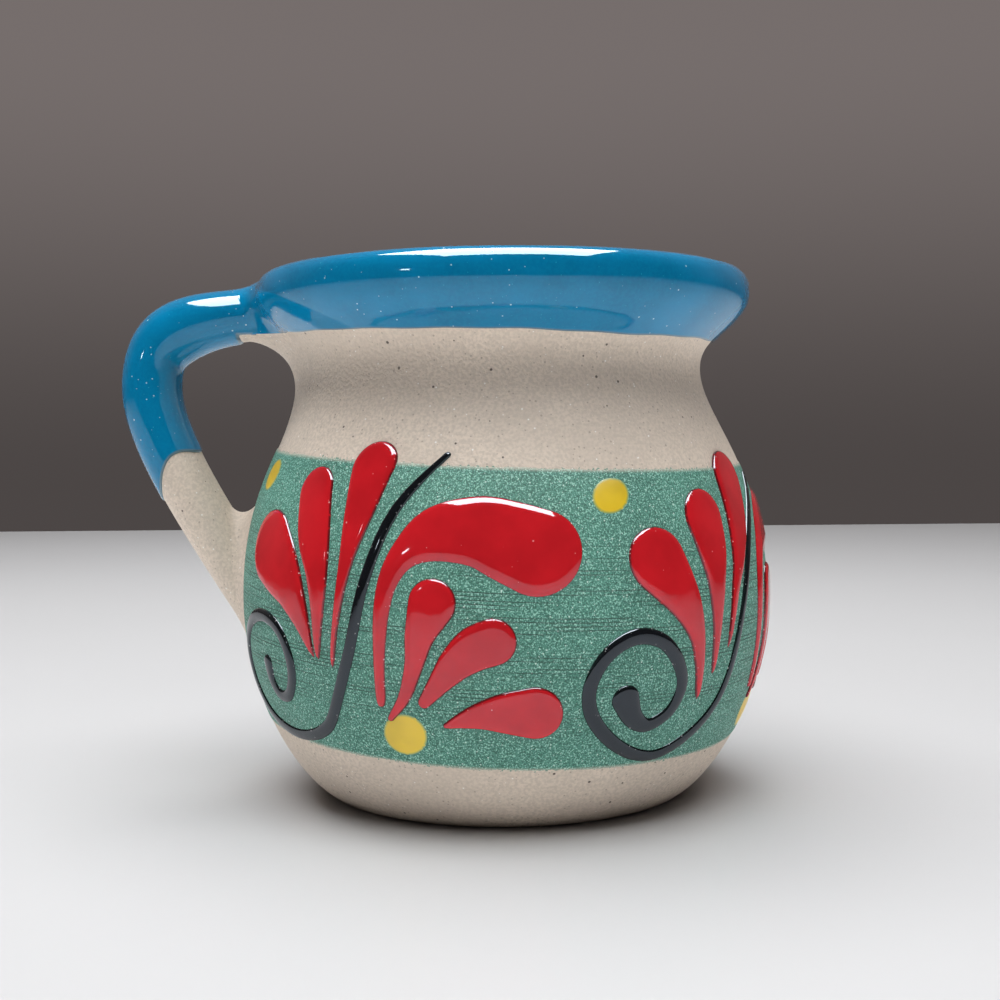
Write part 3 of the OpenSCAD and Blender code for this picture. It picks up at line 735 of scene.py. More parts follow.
class Mug:
    """The settings together with the surfaces that they give."""

    def __init__(self):
        self.form, self.coats = settings().form, settings().coats
        self.wall = Wall(self.form, self.coats)
        self.painter = Painter(self.coats)
        self.strap = Strap(self.form, settings().handle, self.wall)
        self.upper = Smear(self.wall, self.strap, slice(0, STRAP_ROWS // 2), UPPER_OUT, UPPER_RUN)
        self.lower = Smear(self.wall, self.strap, slice(-STRAP_ROWS // 2, None), LOWER_OUT,
                           LOWER_RUN)

    def glaze_edge(self, bearing):
        """Length along the wall of the dipped glaze's lower edge: the painter's level, with a dip
        on the handle's side and small waves."""
        near = (bearing - DIP_BEARING + math.pi) % (2 * math.pi) - math.pi
        edge = self.painter.edge(self.wall, self.form.height - self.coats.glaze_drop, bearing)
        return edge - DIP * np.exp(-(near / DIP_SPREAD) ** 2) + waves(bearing, GLAZE_WAVES)

    def lip_roll(self, s):
        """Extra thickness of the glaze: a bell curve of the length along the wall, centred a
        little below the lip's widest part."""
        widest = self.wall.s_at(self.form.height - self.coats.glaze - self.form.lip_r)
        return LIP_ROLL * np.exp(-((s - widest + LIP_ROLL_AT) / LIP_ROLL_SPREAD) ** 2)

    def joint_edge(self, bearing):
        """Height of the glaze's lower edge over the handle's upper joint: the wall's own edge,
        lower by a bell curve about the handle."""
        near = (bearing + math.pi / 2) / JOINT_SPREAD
        return self.wall.z_at(self.glaze_edge(bearing)) - JOINT_DIP * np.exp(-near ** 2)

    def off_joint(self, s, bearing):
        """How far points of the wall lie outside the bare clay round the lower joint: their
        distance from the joint's middle on the unrolled wall, less its rim's the same way."""
        rim = self.lower.place(np.zeros(1), np.linspace(-math.pi, math.pi, RIM_PROBES))
        middle = self.wall.s_at(self.lower.z)
        rim_s, rim_y = self.wall.s_at(rim[:, 2]) - middle, rim[:, 1]
        polar = np.arctan2(rim_y, rim_s)
        order = np.argsort(polar)
        sideways = bearing + math.pi / 2
        across, along = self.wall.r_at(s) * np.sin(sideways), s - middle
        reach = np.interp(np.arctan2(across, along), polar[order], np.hypot(rim_s, rim_y)[order],
                          period=2 * math.pi)
        return np.where(np.cos(sideways) > 0, np.hypot(across, along) - reach - JOINT_GAP, np.inf)


def skin(name, parts, joined=False, edges=None):
    """A mesh of closed skins. Each part is an array of rings (rings, sides, xyz); neighbours join
    into quads, and the ends are closed by fans or, when joined, the last ring meets the first.
    A part whose enclosed volume comes out negative has its faces turned round."""
    points, faces, marks, start = [], [], [], 0
    for index, rings in enumerate(parts):
        m, n = rings.shape[:2]
        i = np.arange(m if joined else m - 1)[:, None]
        j = np.arange(n)[None, :]
        here, there, k = i * n, (i + 1) % m * n, (j + 1) % n
        quads = np.stack([here + j, there + j, there + k, here + k], axis=-1).reshape(-1, 4)
        own = rings.reshape(-1, 3)
        fans = np.empty((0, 3), int)
        if not joined:
            own = np.vstack([own, rings[0].mean(axis=0), rings[-1].mean(axis=0)])
            j, k = j[0], k[0]
            last = (m - 1) * n
            fans = np.concatenate([np.stack([j, k, np.full(n, m * n)], axis=-1),
                                   np.stack([last + k, last + j, np.full(n, m * n + 1)], axis=-1)])
        triangles = np.concatenate([quads[:, [0, 1, 2]], quads[:, [0, 2, 3]], fans])
        a, b, c = (own[triangles[:, corner]] for corner in range(3))
        if np.einsum("ij,ij->", a, np.cross(b, c)) < 0:
            quads, fans = quads[:, ::-1], fans[:, ::-1]
        points.append(own)
        faces += (quads + start).tolist() + (fans + start).tolist()
        if edges is not None:
            ends = [] if joined else [edges[index][0].mean(), edges[index][-1].mean()]
            marks.append(np.concatenate([edges[index].reshape(-1), ends]))
        start += len(own)
    mesh = bpy.data.meshes.new(name)
    mesh.from_pydata(np.vstack(points).tolist(), [], faces)
    if edges is not None:
        layer = mesh.attributes.new("edge", "FLOAT", "POINT")
        layer.data.foreach_set("value", np.concatenate(marks).astype(np.float32))
    mesh.shade_smooth()
    return mesh


def finish_of(slot):
    """The material of a slot, made when it is first asked for."""
    name = slot + "_finish"
    if name not in bpy.data.materials:
        FINISHES[slot](Finish(name))
    return bpy.data.materials[name]


def show(mesh, slot, *nodes):
    """Puts a finished mesh on the fixed body, in a slot's finish, in place of its CAD nodes."""
    piece = bpy.data.objects.new(mesh.name, mesh)
    bpy.context.scene.collection.objects.link(piece)
    mesh.materials.append(finish_of(slot))
    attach(piece, "root")
    if nodes:
        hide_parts(*nodes)


class Nodes:
    """A node tree: each method adds a node and gives its output."""

    def __init__(self, tree, coordinates):
        self.tree = tree
        self.at = tree.nodes.new("ShaderNodeTexCoord").outputs[coordinates]

    def fill(self, socket, value):
        """Links a value to a socket, or writes it there."""
        if isinstance(value, bpy.types.NodeSocket):
            self.tree.links.new(value, socket)
        else:
            socket.default_value = value

    def node(self, kind, output, inputs, **options):
        """A node with its options set and its inputs linked or filled."""
        node = self.tree.nodes.new(kind)
        for key, value in options.items():
            setattr(node, key, value)
        for key, value in inputs.items():
            self.fill(node.inputs[key], value)
        return node.outputs[output]

    def sum(self, kind, a, b=0.0):
        """An arithmetic step on two values."""
        return self.node("ShaderNodeMath", 0, {0: a, 1: b}, operation=kind)

    def times(self, a, b):
        """The product of two values."""
        return self.sum("MULTIPLY", a, b)

    def ramp(self, value, low, high, first=0.0, last=1.0, kind="LINEAR"):
        """The range from low to high of a value carried onto that from first to last."""
        return self.node("ShaderNodeMapRange", 0, {
            "Value": value, "From Min": low, "From Max": high, "To Min": first, "To Max": last},
            interpolation_type=kind)

    def mask(self, value, low, high):
        """0 where a value is at low, 1 where it is at high, smooth between."""
        return self.ramp(value, low, high, kind="SMOOTHSTEP")

    def mix(self, share, a, b):
        """Colour a where the share is 0, colour b where it is 1."""
        a, b = (v if isinstance(v, bpy.types.NodeSocket) else (*v[:3], 1.0) for v in (a, b))
        return self.node("ShaderNodeMix", 2, {0: share, 6: a, 7: b}, data_type="RGBA")

    def lay(self, base, mask, strength, colour):
        """A base with a colour laid over it, at a strength, where the mask is 1."""
        return self.mix(self.times(mask, strength), base, colour)


class Finish(Nodes):
    """One procedural material. Places are in metres on Object coordinates, so a scale of 1000
    has features of a millimetre."""

    def __init__(self, name):
        self.material = bpy.data.materials.new(name)
        self.material.use_nodes = True
        super().__init__(self.material.node_tree, "Object")

    def stretch(self, x, y, z):
        """Object coordinates scaled along each axis."""
        return self.node("ShaderNodeMapping", 0, {"Vector": self.at, "Scale": (x, y, z)})

    def noise(self, scale, detail, at=None):
        """Cloudy noise."""
        return self.node("ShaderNodeTexNoise", 0, {"Vector": at or self.at, "Scale": scale,
                                                   "Detail": detail})

    def clouds(self, scale, detail, low, high, at=None):
        """Noise as a mask that rises from a low to a high level of it."""
        return self.mask(self.noise(scale, detail, at), low, high)

    def specks(self, scale, share, radius):
        """Round specks in a share of the cells of a Voronoi pattern, up to a radius in cells."""
        colour = self.node("ShaderNodeTexVoronoi", "Color", {"Vector": self.at, "Scale": scale})
        chance = self.node("ShaderNodeSeparateColor", 0, {0: colour})
        size = self.ramp(chance, 1 - share, 1, 0, radius)
        return self.mask(self.sum("SUBTRACT", size, colour.node.outputs["Distance"]), 0.0, 0.05)

    def height(self):
        """Height in the painter's frame: how far a point lies along its upward direction."""
        painter = Painter(settings().coats)
        lifted = self.node("ShaderNodeVectorMath", 0, {0: self.at, 1: (0, 0, -painter.mid)},
                           operation="ADD")
        along = self.node("ShaderNodeVectorMath", "Value", {0: lifted, 1: tuple(painter.up)},
                          operation="DOT_PRODUCT")
        return self.sum("ADD", along, painter.mid)

    def band_depth(self, height):
        """How far a height lies inside the nearer edge of the band."""
        coats = settings().coats
        return self.sum("MINIMUM", self.sum("SUBTRACT", height, coats.band_low),
                        self.sum("SUBTRACT", coats.band_high, height))

    def grains(self, distance, reach, level):
        """Fine grains that thin out over a reach of distances, as the level of noise that they
        need rises."""
        need = self.ramp(distance, *reach, *level)
        return self.mask(self.sum("SUBTRACT", self.noise(2300, 1.0), need), 0.0, 0.06)

    def edge_mask(self, low, high):
        """1 at the edge of a stroke or coat, 0 further in, from the distance kept on the mesh in
        millimetres."""
        edge = self.node("ShaderNodeAttribute", "Fac", {}, attribute_name="edge")
        return self.mask(edge, high, low)

    def bump(self, height, depth):
        """A relief of a depth in metres."""
        return self.node("ShaderNodeBump", 0, {"Height": height, "Distance": depth,
                                               "Strength": 1.0})

    def set(self, **inputs):
        """Fills or links the shader's own sockets, named with _ for a space."""
        shader = self.tree.nodes["Principled BSDF"]
        for key, value in inputs.items():
            self.fill(shader.inputs[key.replace("_", " ")], value)


def scaled(colour, by):
    """A colour made lighter or darker."""
    return [min(1.0, channel * by) for channel in colour[:3]]


def clay_body(finish, colour):
    """Fired clay: cloudy mottling, fine grain, dark iron specks, mica flakes whose sparkle is
    painted as bright points, pits and faint turning lines. Gives its colour and its relief."""
    grain = finish.clouds(1900, 2.0, 0.32, 0.68)
    lines = finish.noise(1.0, 2.0, finish.stretch(30, 30, 1500))
    iron = finish.specks(520, 0.42, 0.16)
    base = finish.mix(finish.clouds(55, 3.0, 0.3, 0.7), scaled(colour, 0.93),
                      scaled(colour, 1.05))
    base = finish.lay(base, grain, 0.8, scaled(colour, 0.8))
    base = finish.lay(base, finish.mask(lines, 0.55, 0.75), 0.18, scaled(colour, 0.7))
    base = finish.lay(base, finish.specks(1150, 0.7, 0.26), 0.4, CLAY_DUST)
    base = finish.lay(base, iron, 0.85, CLAY_IRON)
    # Mica flakes, their sparkle painted as bright points in the colour
    base = finish.lay(base, finish.specks(1000, 0.5, 0.2), 0.85, CLAY_MICA_SPARKLE)
    relief = finish.sum("ADD", grain, finish.times(lines, 0.6))
    relief = finish.sum("SUBTRACT", relief, finish.times(iron, 1.5))
    return base, finish.bump(relief, 0.045 * MM)


def clay(finish):
    """Bare clay of the pot, with green dust from the sponge just past the band's edges."""
    colours, belly_r = settings().colours, settings().form.belly_r
    base, normal = clay_body(finish, colours.clay)
    past = finish.times(finish.band_depth(finish.height()), -1.0)
    out = finish.node("ShaderNodeVectorMath", "Value", {0: finish.stretch(1, 1, 0)},
                      operation="LENGTH")
    on_pot = finish.mask(out, belly_r + SPONGE_REACH[0], belly_r + SPONGE_REACH[1])
    base = finish.lay(base, finish.times(finish.grains(past, *SPILL), on_pot), 0.8,
                      colours.green)
    finish.set(Base_Color=base, Roughness=0.72, Specular_IOR_Level=0.35, Normal=normal)


def slip(finish):
    """Slip wiped smooth with a finger: the clay's own colour, a little paler and finer."""
    base, normal = clay_body(finish, settings().colours.slip)
    finish.set(Base_Color=base, Roughness=0.68, Specular_IOR_Level=0.35, Normal=normal)


def green_slip(finish):
    """Sponged colour: dark and pale grains side by side, a few bright points, short dark turning
    lines round the belly, and clay showing between the grains towards the edges."""
    clay_colour, green = settings().colours.clay, settings().colours.green
    grain = finish.noise(3900, 1.0)
    base = finish.mix(finish.clouds(70, 3.0, 0.3, 0.7), scaled(green, 0.9), scaled(green, 1.08))
    base = finish.lay(base, finish.mask(grain, 0.5, 0.36), 0.7, scaled(green, 0.35))
    base = finish.lay(base, finish.mask(grain, 0.55, 0.66), 0.9, GREEN_PALE)
    base = finish.lay(base, finish.specks(1700, 0.6, 0.27), 0.8, GREEN_GLINT)
    height = finish.height()
    phase = finish.sum("ADD", finish.times(height, 2 * math.pi / LINE_PITCH),
                       finish.times(finish.noise(14, 1.0), 9.0))
    lines = finish.mask(finish.sum("SINE", phase), 0.45, 0.95)
    for part in (finish.clouds(1.0, 1.0, 0.4, 0.62, finish.stretch(45, 45, 700)),
                 finish.mask(height, *LINES_LOW), finish.mask(height, *LINES_HIGH),
                 finish.clouds(45, 1.0, 0.3, 0.5)):
        lines = finish.times(lines, part)
    base = finish.lay(base, lines, 0.85, scaled(green, 0.2))
    inside = finish.band_depth(height)
    base = finish.lay(base, finish.grains(inside, *BARE), 0.75, clay_colour)
    base = finish.lay(base, finish.mask(inside, *THIN), 0.6, clay_colour)
    relief = finish.sum("SUBTRACT", grain, lines)
    finish.set(Base_Color=base, Roughness=0.6, Specular_IOR_Level=0.35,
               Normal=finish.bump(relief, 0.08 * MM))


def blue_glaze(finish):
    """Glossy blue glaze: soft clouds of depth, pale specks painted as sparkling glints, and a grey
    line painted along its edge as the shadow of the thick edge."""
    blue = settings().colours.blue
    # Pale specks painted as sparkling glints, also raised a little in the relief
    sparkle_glints = finish.specks(760, 0.85, 0.145)
    base = finish.mix(finish.clouds(90, 4.0, 0.3, 0.7), scaled(blue, 0.9), scaled(blue, 1.12))
    base = finish.lay(base, finish.clouds(1700, 2.0, 0.35, 0.7), 0.3, BLUE_FINE)
    base = finish.lay(base, finish.specks(1300, 0.5, 0.16), 0.6, BLUE_DUST)
    base = finish.lay(base, sparkle_glints, 0.9, BLUE_SPARKLE_GLINT)
    # Painted shadow: a grey line along the glaze's edge, where the thick edge casts shade
    base = finish.lay(base, finish.edge_mask(0.25, 0.7), 0.85, GLAZE_EDGE_SHADOW)
    relief = finish.sum("ADD", finish.noise(170, 2.0), finish.times(sparkle_glints, 0.12))
    finish.set(Base_Color=base, Roughness=0.05, IOR=1.68, Specular_Tint=BLUE_TINT,
               Normal=finish.bump(relief, 0.05 * MM))


def enamel(finish, colour, rim, roughness, relief_depth, shade_width=0.34):
    """Raised enamel: soft clouds, a few pale points, a thin dark rim painted as shade where it
    meets the band, pale specks painted as glints along its edge, and a slightly uneven skin."""
    bright = [0.5 + 0.5 * channel for channel in colour[:3]]
    # Pale specks painted as glints along the stroke's edges
    edge_glints = finish.times(finish.specks(1700, 0.7, 0.3), finish.edge_mask(0.1, 0.6))
    broken = finish.times(finish.clouds(1500, 1.0, 0.2, 0.45), 0.85)
    base = finish.mix(finish.clouds(130, 3.0, 0.3, 0.75), colour, scaled(colour, 0.8))
    base = finish.lay(base, finish.specks(900, 0.3, 0.16), 0.6, bright)
    # Painted shade: a thin dark rim along the stroke's edge, broken up by clouds
    base = finish.lay(base, finish.edge_mask(0.35 * shade_width, shade_width), broken, rim)
    base = finish.lay(base, edge_glints, 0.8, bright)
    finish.set(Base_Color=base, Roughness=roughness, IOR=1.7, Specular_Tint=ENAMEL_TINT,
               Normal=finish.bump(finish.noise(260, 2.0), relief_depth))


def red_enamel(finish):
    """Glossy red."""
    enamel(finish, settings().colours.red, RED_EDGE_SHADE, 0.06, 0.05 * MM)


def black_enamel(finish):
    """Glossy black."""
    enamel(finish, settings().colours.black, BLACK_EDGE_SHADE, 0.08, 0.06 * MM)


def yellow_enamel(finish):
    """Yellow with less gloss."""
    enamel(finish, settings().colours.yellow, YELLOW_EDGE_SHADE, 0.34, 0.08 * MM, 0.7)


FINISHES = {"clay": clay, "slip": slip, "green_slip": green_slip, "blue_glaze": blue_glaze,
            "red_enamel": red_enamel, "black_enamel": black_enamel,
            "yellow_enamel": yellow_enamel}


class POT_OT_clay(Operator):
    """Build the thrown pot: flat base, rounded corner, outside, lip and lining in one skin"""

    bl_idname = "clay_mug.pot"
    bl_label = "Thrown pot"

    def execute(self, context):
        mug = Mug()
        form, wall = mug.form, mug.wall
        # The flat base, then an arc through the foot's angle, then the wall's own rows
        reach = BASE_ROUND * math.tan(form.foot_turn / 2)
        flat = np.linspace(CENTRE, 1, BASE_ROWS, endpoint=False) * (form.foot_r - reach)
        a = np.linspace(0, form.foot_turn, CORNER_ROWS)
        above = wall.rows[wall.s > reach + BASE_STEP]
        r = np.concatenate([flat, form.foot_r - reach + BASE_ROUND * np.sin(a), above[:, 0]])
        z = np.concatenate([0 * flat, BASE_ROUND * (1 - np.cos(a)), above[:, 1]])
        rings = spun(r[:, None], z[:, None], around(SIDES))
        show(skin("thrown_pot", [rings]), "clay", "pot")
        return {"FINISHED"}


class POT_OT_glaze(Operator):
    """Build the blue coat that runs from the flare over the lip and down the lining"""

    bl_idname = "clay_mug.glaze"
    bl_label = "Rim and lining glaze"

    def execute(self, context):
        mug = Mug()
        bearing = around(SIDES)
        edge, end = mug.glaze_edge(bearing), mug.wall.end
        near = np.linspace(0, 1, EDGE_ROWS)[:, None] ** EDGE_CLOSER * EDGE_ZONE
        share = np.linspace(0, 1, GLAZE_ROWS)[1:, None]
        distance = np.concatenate([near + 0 * edge, EDGE_ZONE + share * (end - edge - EDGE_ZONE)])
        # Lift: the thickness by the bead, swelled near the edge by a bell curve, and the roll
        full = bead(distance, GLAZE_BEAD)
        swell = 1 + EDGE_SWELL * np.exp(-(distance / EDGE_ZONE) ** 2)
        lift = mug.coats.glaze * np.minimum(full * swell, 1.0) - EDGE_SINK * (1 - full)
        back = np.linspace(end, edge, GLAZE_BACK_ROWS)
        rings = np.concatenate([
            mug.wall.place(back, bearing, -TUCK),
            mug.wall.place(edge + distance, bearing, lift + mug.lip_roll(edge + distance))])
        marks = np.concatenate([np.zeros_like(back), distance / MM])
        mesh = skin("rim_and_lining_glaze", [rings], edges=[marks])
        show(mesh, "blue_glaze", "rim_glaze", "liner_glaze")
        return {"FINISHED"}


class POT_OT_band(Operator):
    """Build the sponged band, with bare clay left round the handle's lower joint"""

    bl_idname = "clay_mug.band"
    bl_label = "Sponged band"

    def execute(self, context):
        mug = Mug()
        wall, coats = mug.wall, mug.coats
        bearing = around(BAND_SIDES)
        low, high = (mug.painter.edge(wall, height, bearing) + waves(bearing, parts)
                     for height, parts in ((coats.band_low, BAND_LOW_WAVES),
                                           (coats.band_high, BAND_HIGH_WAVES)))
        first = BAND_CLOSE[-1]
        share = np.concatenate([BAND_CLOSE[:-1], np.linspace(first, 1 - first, BAND_ROWS),
                                1 - BAND_CLOSE[-2::-1]])[:, None]
        s = low + share * (high - low)
        # Lift: the thickness by the beads of the nearer edge and of the bare clay at the joint
        lift = coats.band * bead(np.minimum(s - low, high - s), BAND_BEAD) - BAND_SINK
        inside = mug.off_joint(s, bearing)
        lift = np.where(inside < 0, -BAND_TUCK, lift * bead(np.maximum(inside, 0), BAND_BEAD))
        back = np.linspace(high, low, BAND_BACK_ROWS)
        rings = np.concatenate([wall.place(s, bearing, lift), wall.place(back, bearing, -TUCK)])
        show(skin("sponged_band", [rings], joined=True), "green_slip", "green_band")
        return {"FINISHED"}


class POT_OT_handle(Operator):
    """Build the pulled handle, its ends buried in the wall"""

    bl_idname = "clay_mug.handle"
    bl_label = "Pulled handle"

    def execute(self, context):
        strap = Mug().strap
        a = around(STRAP_SIDES)
        # Each angle runs between its own two ends in the wall
        first, last = strap.buried(a)
        t = first + strap.t[:, None] / 2 * (last - first)
        show(skin("pulled_handle", [strap.place(t, a, 0.0)]), "clay", "handle")
        return {"FINISHED"}


class POT_OT_handle_glaze(Operator):
    """Build the blue coat over the upper part of the handle, its edge slanting down outwards"""

    bl_idname = "clay_mug.handle_glaze"
    bl_label = "Handle glaze"

    def execute(self, context):
        mug = Mug()
        strap = mug.strap
        a = around(STRAP_SIDES)
        slant = HANDLE_SLANT * ((1 + np.cos(a)) / 2) ** HANDLE_SLANT_POWER
        edge_z = mug.form.height - HANDLE_EDGE_DROP - slant + waves(a, HANDLE_WAVES)
        # For each angle, the place on the line where the section's own height meets the edge's
        lower = strap.t > 1
        edge = np.full_like(a, HANDLE_EDGE_GUESS)
        for _ in range(HANDLE_ROUNDS):
            across = np.interp(edge, strap.t, strap.half) * np.cos(a)
            shift = across * np.interp(edge, strap.t, strap.way[:, 0])
            edge = np.interp(-(edge_z - shift), -strap.at[lower, 1], strap.t[lower])
        start = np.interp(ROOT_DEPTH + HANDLE_COAT_START,
                          strap.at[:STRAP_ROWS, 0] - strap.at[0, 0], strap.t[:STRAP_ROWS])
        rounded = bead(np.linspace(0, 1, EDGE_ROWS)[1:], 1.0)
        share = np.concatenate([np.linspace(0, 1 - HANDLE_EDGE_SHARE, HANDLE_COAT_ROWS),
                                1 - HANDLE_EDGE_SHARE * (1 - rounded)])[:, None]
        t = start + share * (edge - start)
        # Distance from the nearer edge: the slanting one, or the bare clay under the root
        run = np.interp(t, strap.t, lengths(strap.at))
        clay_at = strap.place(t, a, 0.0)
        root_edge = mug.joint_edge(np.array([-math.pi / 2]))[0] - ROOT_OVERLAP
        dipped = np.maximum(clay_at[..., 2] - root_edge, -clay_at[..., 0] - BARE_REACH)
        distance = np.minimum(run[-1] - run, dipped)
        lift = mug.coats.glaze * bead(distance, JOINT_BEAD) - EDGE_SINK
        lift = np.where(distance < 0, -TUCK, lift)
        back = np.linspace(t[-1], t[0], HANDLE_BACK_ROWS)
        rings = np.concatenate([strap.place(t, a, lift), strap.place(back, a, -TUCK)])
        marks = np.concatenate([np.maximum(distance, 0) / MM, np.zeros_like(back)])
        mesh = skin("handle_glaze_coat", [rings], joined=True, edges=[marks])
        show(mesh, "blue_glaze", "handle_glaze")
        return {"FINISHED"}


class POT_OT_slip(Operator):
    """Build the smears of slip at the handle's two joints, and the glaze over the upper one"""

    bl_idname = "clay_mug.slip"
    bl_label = "Slip joints"

    def execute(self, context):
        mug = Mug()
        show(skin("upper_slip_joint", [mug.upper.rings()]), "slip", "upper_lute")
        show(skin("lower_slip_joint", [mug.lower.rings()]), "slip", "lower_lute")
        # The glaze follows the smear above the edge, lifted across it by the cross product of
        # the steps round it and along it
        share, way = mug.upper.above(mug.joint_edge)
        body = mug.upper.place(share, way)
        ringed = np.concatenate([body[:, -1:], body, body[:, :1]], axis=1)
        facing = np.cross(ringed[:, 2:] - ringed[:, :-2], np.gradient(body, axis=0))
        facing /= np.maximum(np.linalg.norm(facing, axis=-1, keepdims=True), TINY)
        if facing[UPWARD_ROW, 0, 2] < 0:
            facing = -facing
        run = lengths(body)
        rise = bead(run, JOINT_BEAD)
        thick = (mug.coats.glaze + JOINT_EXTRA
                 - JOINT_LOSS * np.clip(share / JOINT_LOSS_SHARE, 0, 1)
                 + mug.lip_roll(mug.wall.s_at(body[..., 2])) * np.clip(1 - share, 0, 1) ** 2)
        coat = body + facing * (thick * rise - JOINT_SINK * (1 - rise))[..., None]
        over = body[..., 2] - mug.joint_edge(bearing_of(body))
        marks = np.maximum(over, run * np.clip(share[:1] / JOINT_TURN_SHARE, 0, 1))
        marks = np.maximum(marks, 0) / MM
        deep = mug.upper.sunk(coat[:1])
        mesh = skin("upper_joint_glaze", [np.concatenate([deep, coat])],
                    edges=[np.concatenate([marks[:1].repeat(len(deep), axis=0), marks])])
        show(mesh, "blue_glaze")
        return {"FINISHED"}


def stroke(mug, plan, bearing, height, flank, tail, dome):
    """A raised brush stroke on the wall, as rings from its thin end to its round one, with each
    point's distance from the edge. The plan is a Catmull-Rom curve through the points; at each
    of its places the outline touches the round brush where the brush's growth leans it, and a
    cap of the same circle closes each end. The enamel rises from the edge as a superellipse,
    whose two powers are the dome's."""
    p = np.asarray(plan, float) * MM
    if tail > 0:
        way = (p[0] - p[1])[:2]
        tip = [*(p[0, :2] + way / np.hypot(*way) * tail), TAIL_HALF]
        p = np.vstack([tip, p])
    count = len(p)
    p = np.vstack([2 * p[:1] - p[1:2], p, 2 * p[-1:] - p[-2:-1]])
    u = np.linspace(0, count - 1, STROKE_ROWS)
    i = np.minimum(u.astype(int), count - 2)
    t = (u - i)[:, None]
    a, b, c, d = (p[i + k] for k in range(4))
    bend, twist = 2 * a - 5 * b + 4 * c - d, 3 * b - a - 3 * c + d
    at = 0.5 * (2 * b + (c - a) * t + bend * t * t + twist * t ** 3)
    way = 0.5 * ((c - a) + 2 * bend * t + 3 * twist * t * t)
    speed = np.hypot(way[:, 0], way[:, 1])
    lean = math.pi / 2 + np.arcsin(np.clip(way[:, 2] / speed, -MOST_GROWTH, MOST_GROWTH))
    tip = np.linspace(math.pi - CAP_STOP, lean[0], CAP_ROWS)[:-1]
    cap = np.linspace(lean[-1], CAP_STOP, CAP_ROWS)[1:]
    row = np.concatenate([np.zeros(len(tip), int), np.arange(STROKE_ROWS),
                          np.full(len(cap), STROKE_ROWS - 1)])
    turn_by = np.concatenate([tip, lean, cap])[:, None]
    half = at[row, 2:]
    ahead = (way[:, :2] / speed[:, None])[row]
    over = -np.cos(np.linspace(0, math.pi, OVER_POINTS))
    under = np.linspace(1, -1, UNDER_POINTS)[1:-1]
    across = np.concatenate([over, under])[None, :]
    forth, sideways = half * np.cos(turn_by), half * np.sin(turn_by) * across
    x = at[row, :1] + forth * ahead[:, :1] - sideways * ahead[:, 1:]
    y = at[row, 1:2] + forth * ahead[:, 1:] + sideways * ahead[:, :1]
    edge = half * (1 - np.sqrt(np.cos(turn_by) ** 2 + (across * np.sin(turn_by)) ** 2))
    edge = np.maximum(edge, 0)
    width = np.minimum(half, flank)
    thick = np.minimum(height * (1 - 0.5 * np.exp(-half / THIN_HALF)), STEEPEST * half)
    rise = (1 - (1 - np.clip(edge / width, 0, 1)) ** dome[0]) ** (1 / dome[1])
    top = np.broadcast_to(np.arange(across.size)[None, :] < over.size, rise.shape)
    lift = np.where(top, thick * rise, -STROKE_TUCK)
    s, angle = mug.painter.onto(mug.wall, x * mug.form.belly_r / PLAN_R, y, bearing)
    return mug.wall.place(s, angle, lift), np.where(top, edge / MM, 0.0)
def strokes(name, slot, node, plans, bearings, height=PETAL_HEIGHT, flank=FLANK, tail=0.0,
            dome=DOME):
    """One piece of all the strokes of a kind: the plans take turns round the mug."""
    mug = Mug()
    made = [stroke(mug, plans[k % len(plans)], bearing, height * mug.coats.enamel, flank, tail,
                   dome) for k, bearing in enumerate(bearings)]
    mesh = skin(name, [rings for rings, _ in made], edges=[edge for _, edge in made])
    show(mesh, slot, node)


def places(first, count=PLACES):
    """Bearings of the motifs of a kind, a quarter turn apart."""
    return [first + k * 2 * math.pi / PLACES for k in range(count)]


class POT_OT_fans(Operator):
    """Build the fans: three red petals that spread from each scroll"""

    bl_idname = "clay_mug.fans"
    bl_label = "Fan petals"

    def execute(self, context):
        for name, node, plans in FANS:
            strokes(name, "red_enamel", node, plans, places(FAN_BEARING), tail=FAN_TAIL)
        return {"FINISHED"}


class POT_OT_scrolls(Operator):
    """Build the black scroll lines"""

    bl_idname = "clay_mug.scrolls"
    bl_label = "Scroll lines"

    def execute(self, context):
        strokes("scroll_lines", "black_enamel", "scroll_line", SCROLL, places(FAN_BEARING))
        return {"FINISHED"}


class POT_OT_sprays(Operator):
    """Build the commas and the sprays of three red petals; the handle takes the last place"""

    bl_idname = "clay_mug.sprays"
    bl_label = "Commas and sprays"

    def execute(self, context):
        bearings = places(SPRAY_BEARING, PLACES - 1)
        strokes("commas", "red_enamel", "comma_stroke", [COMMA], bearings, COMMA_HEIGHT,
                COMMA_FLANK, COMMA_TAIL, COMMA_DOME)
        for name, node, plans in SPRAYS:
            strokes(name, "red_enamel", node, plans, bearings)
        return {"FINISHED"}


class POT_OT_dots(Operator):
    """Build the yellow dots on the shoulder and at the foot of the sprays"""

    bl_idname = "clay_mug.dots"
    bl_label = "Yellow dots"

    def execute(self, context):
        strokes("shoulder_dots", "yellow_enamel", "shoulder_dot", [SHOULDER_DOT],
                places(SPRAY_BEARING), DOT_HEIGHT, SHOULDER_DOT_FLANK)
        strokes("spray_dots", "yellow_enamel", "spray_dot", [SPRAY_DOT],
                places(SPRAY_BEARING, PLACES - 1), DOT_HEIGHT, SPRAY_DOT_FLANK)
        return {"FINISHED"}


def soft_box(name, centre, size, power, aim=AIM):
    """A rectangular light that faces a point."""
    light = bpy.data.lights.new(name, "AREA")
    light.shape = "RECTANGLE"
    light.size, light.size_y = size
    light.energy = power
    lamp = bpy.data.objects.new(name, light)
    turned = (Vector(aim) - Vector(centre)).to_track_quat("-Z", "Y").to_matrix().to_4x4()
    lamp.matrix_world = Matrix.Translation(centre) @ turned
    bpy.context.scene.collection.objects.link(lamp)
    return lamp


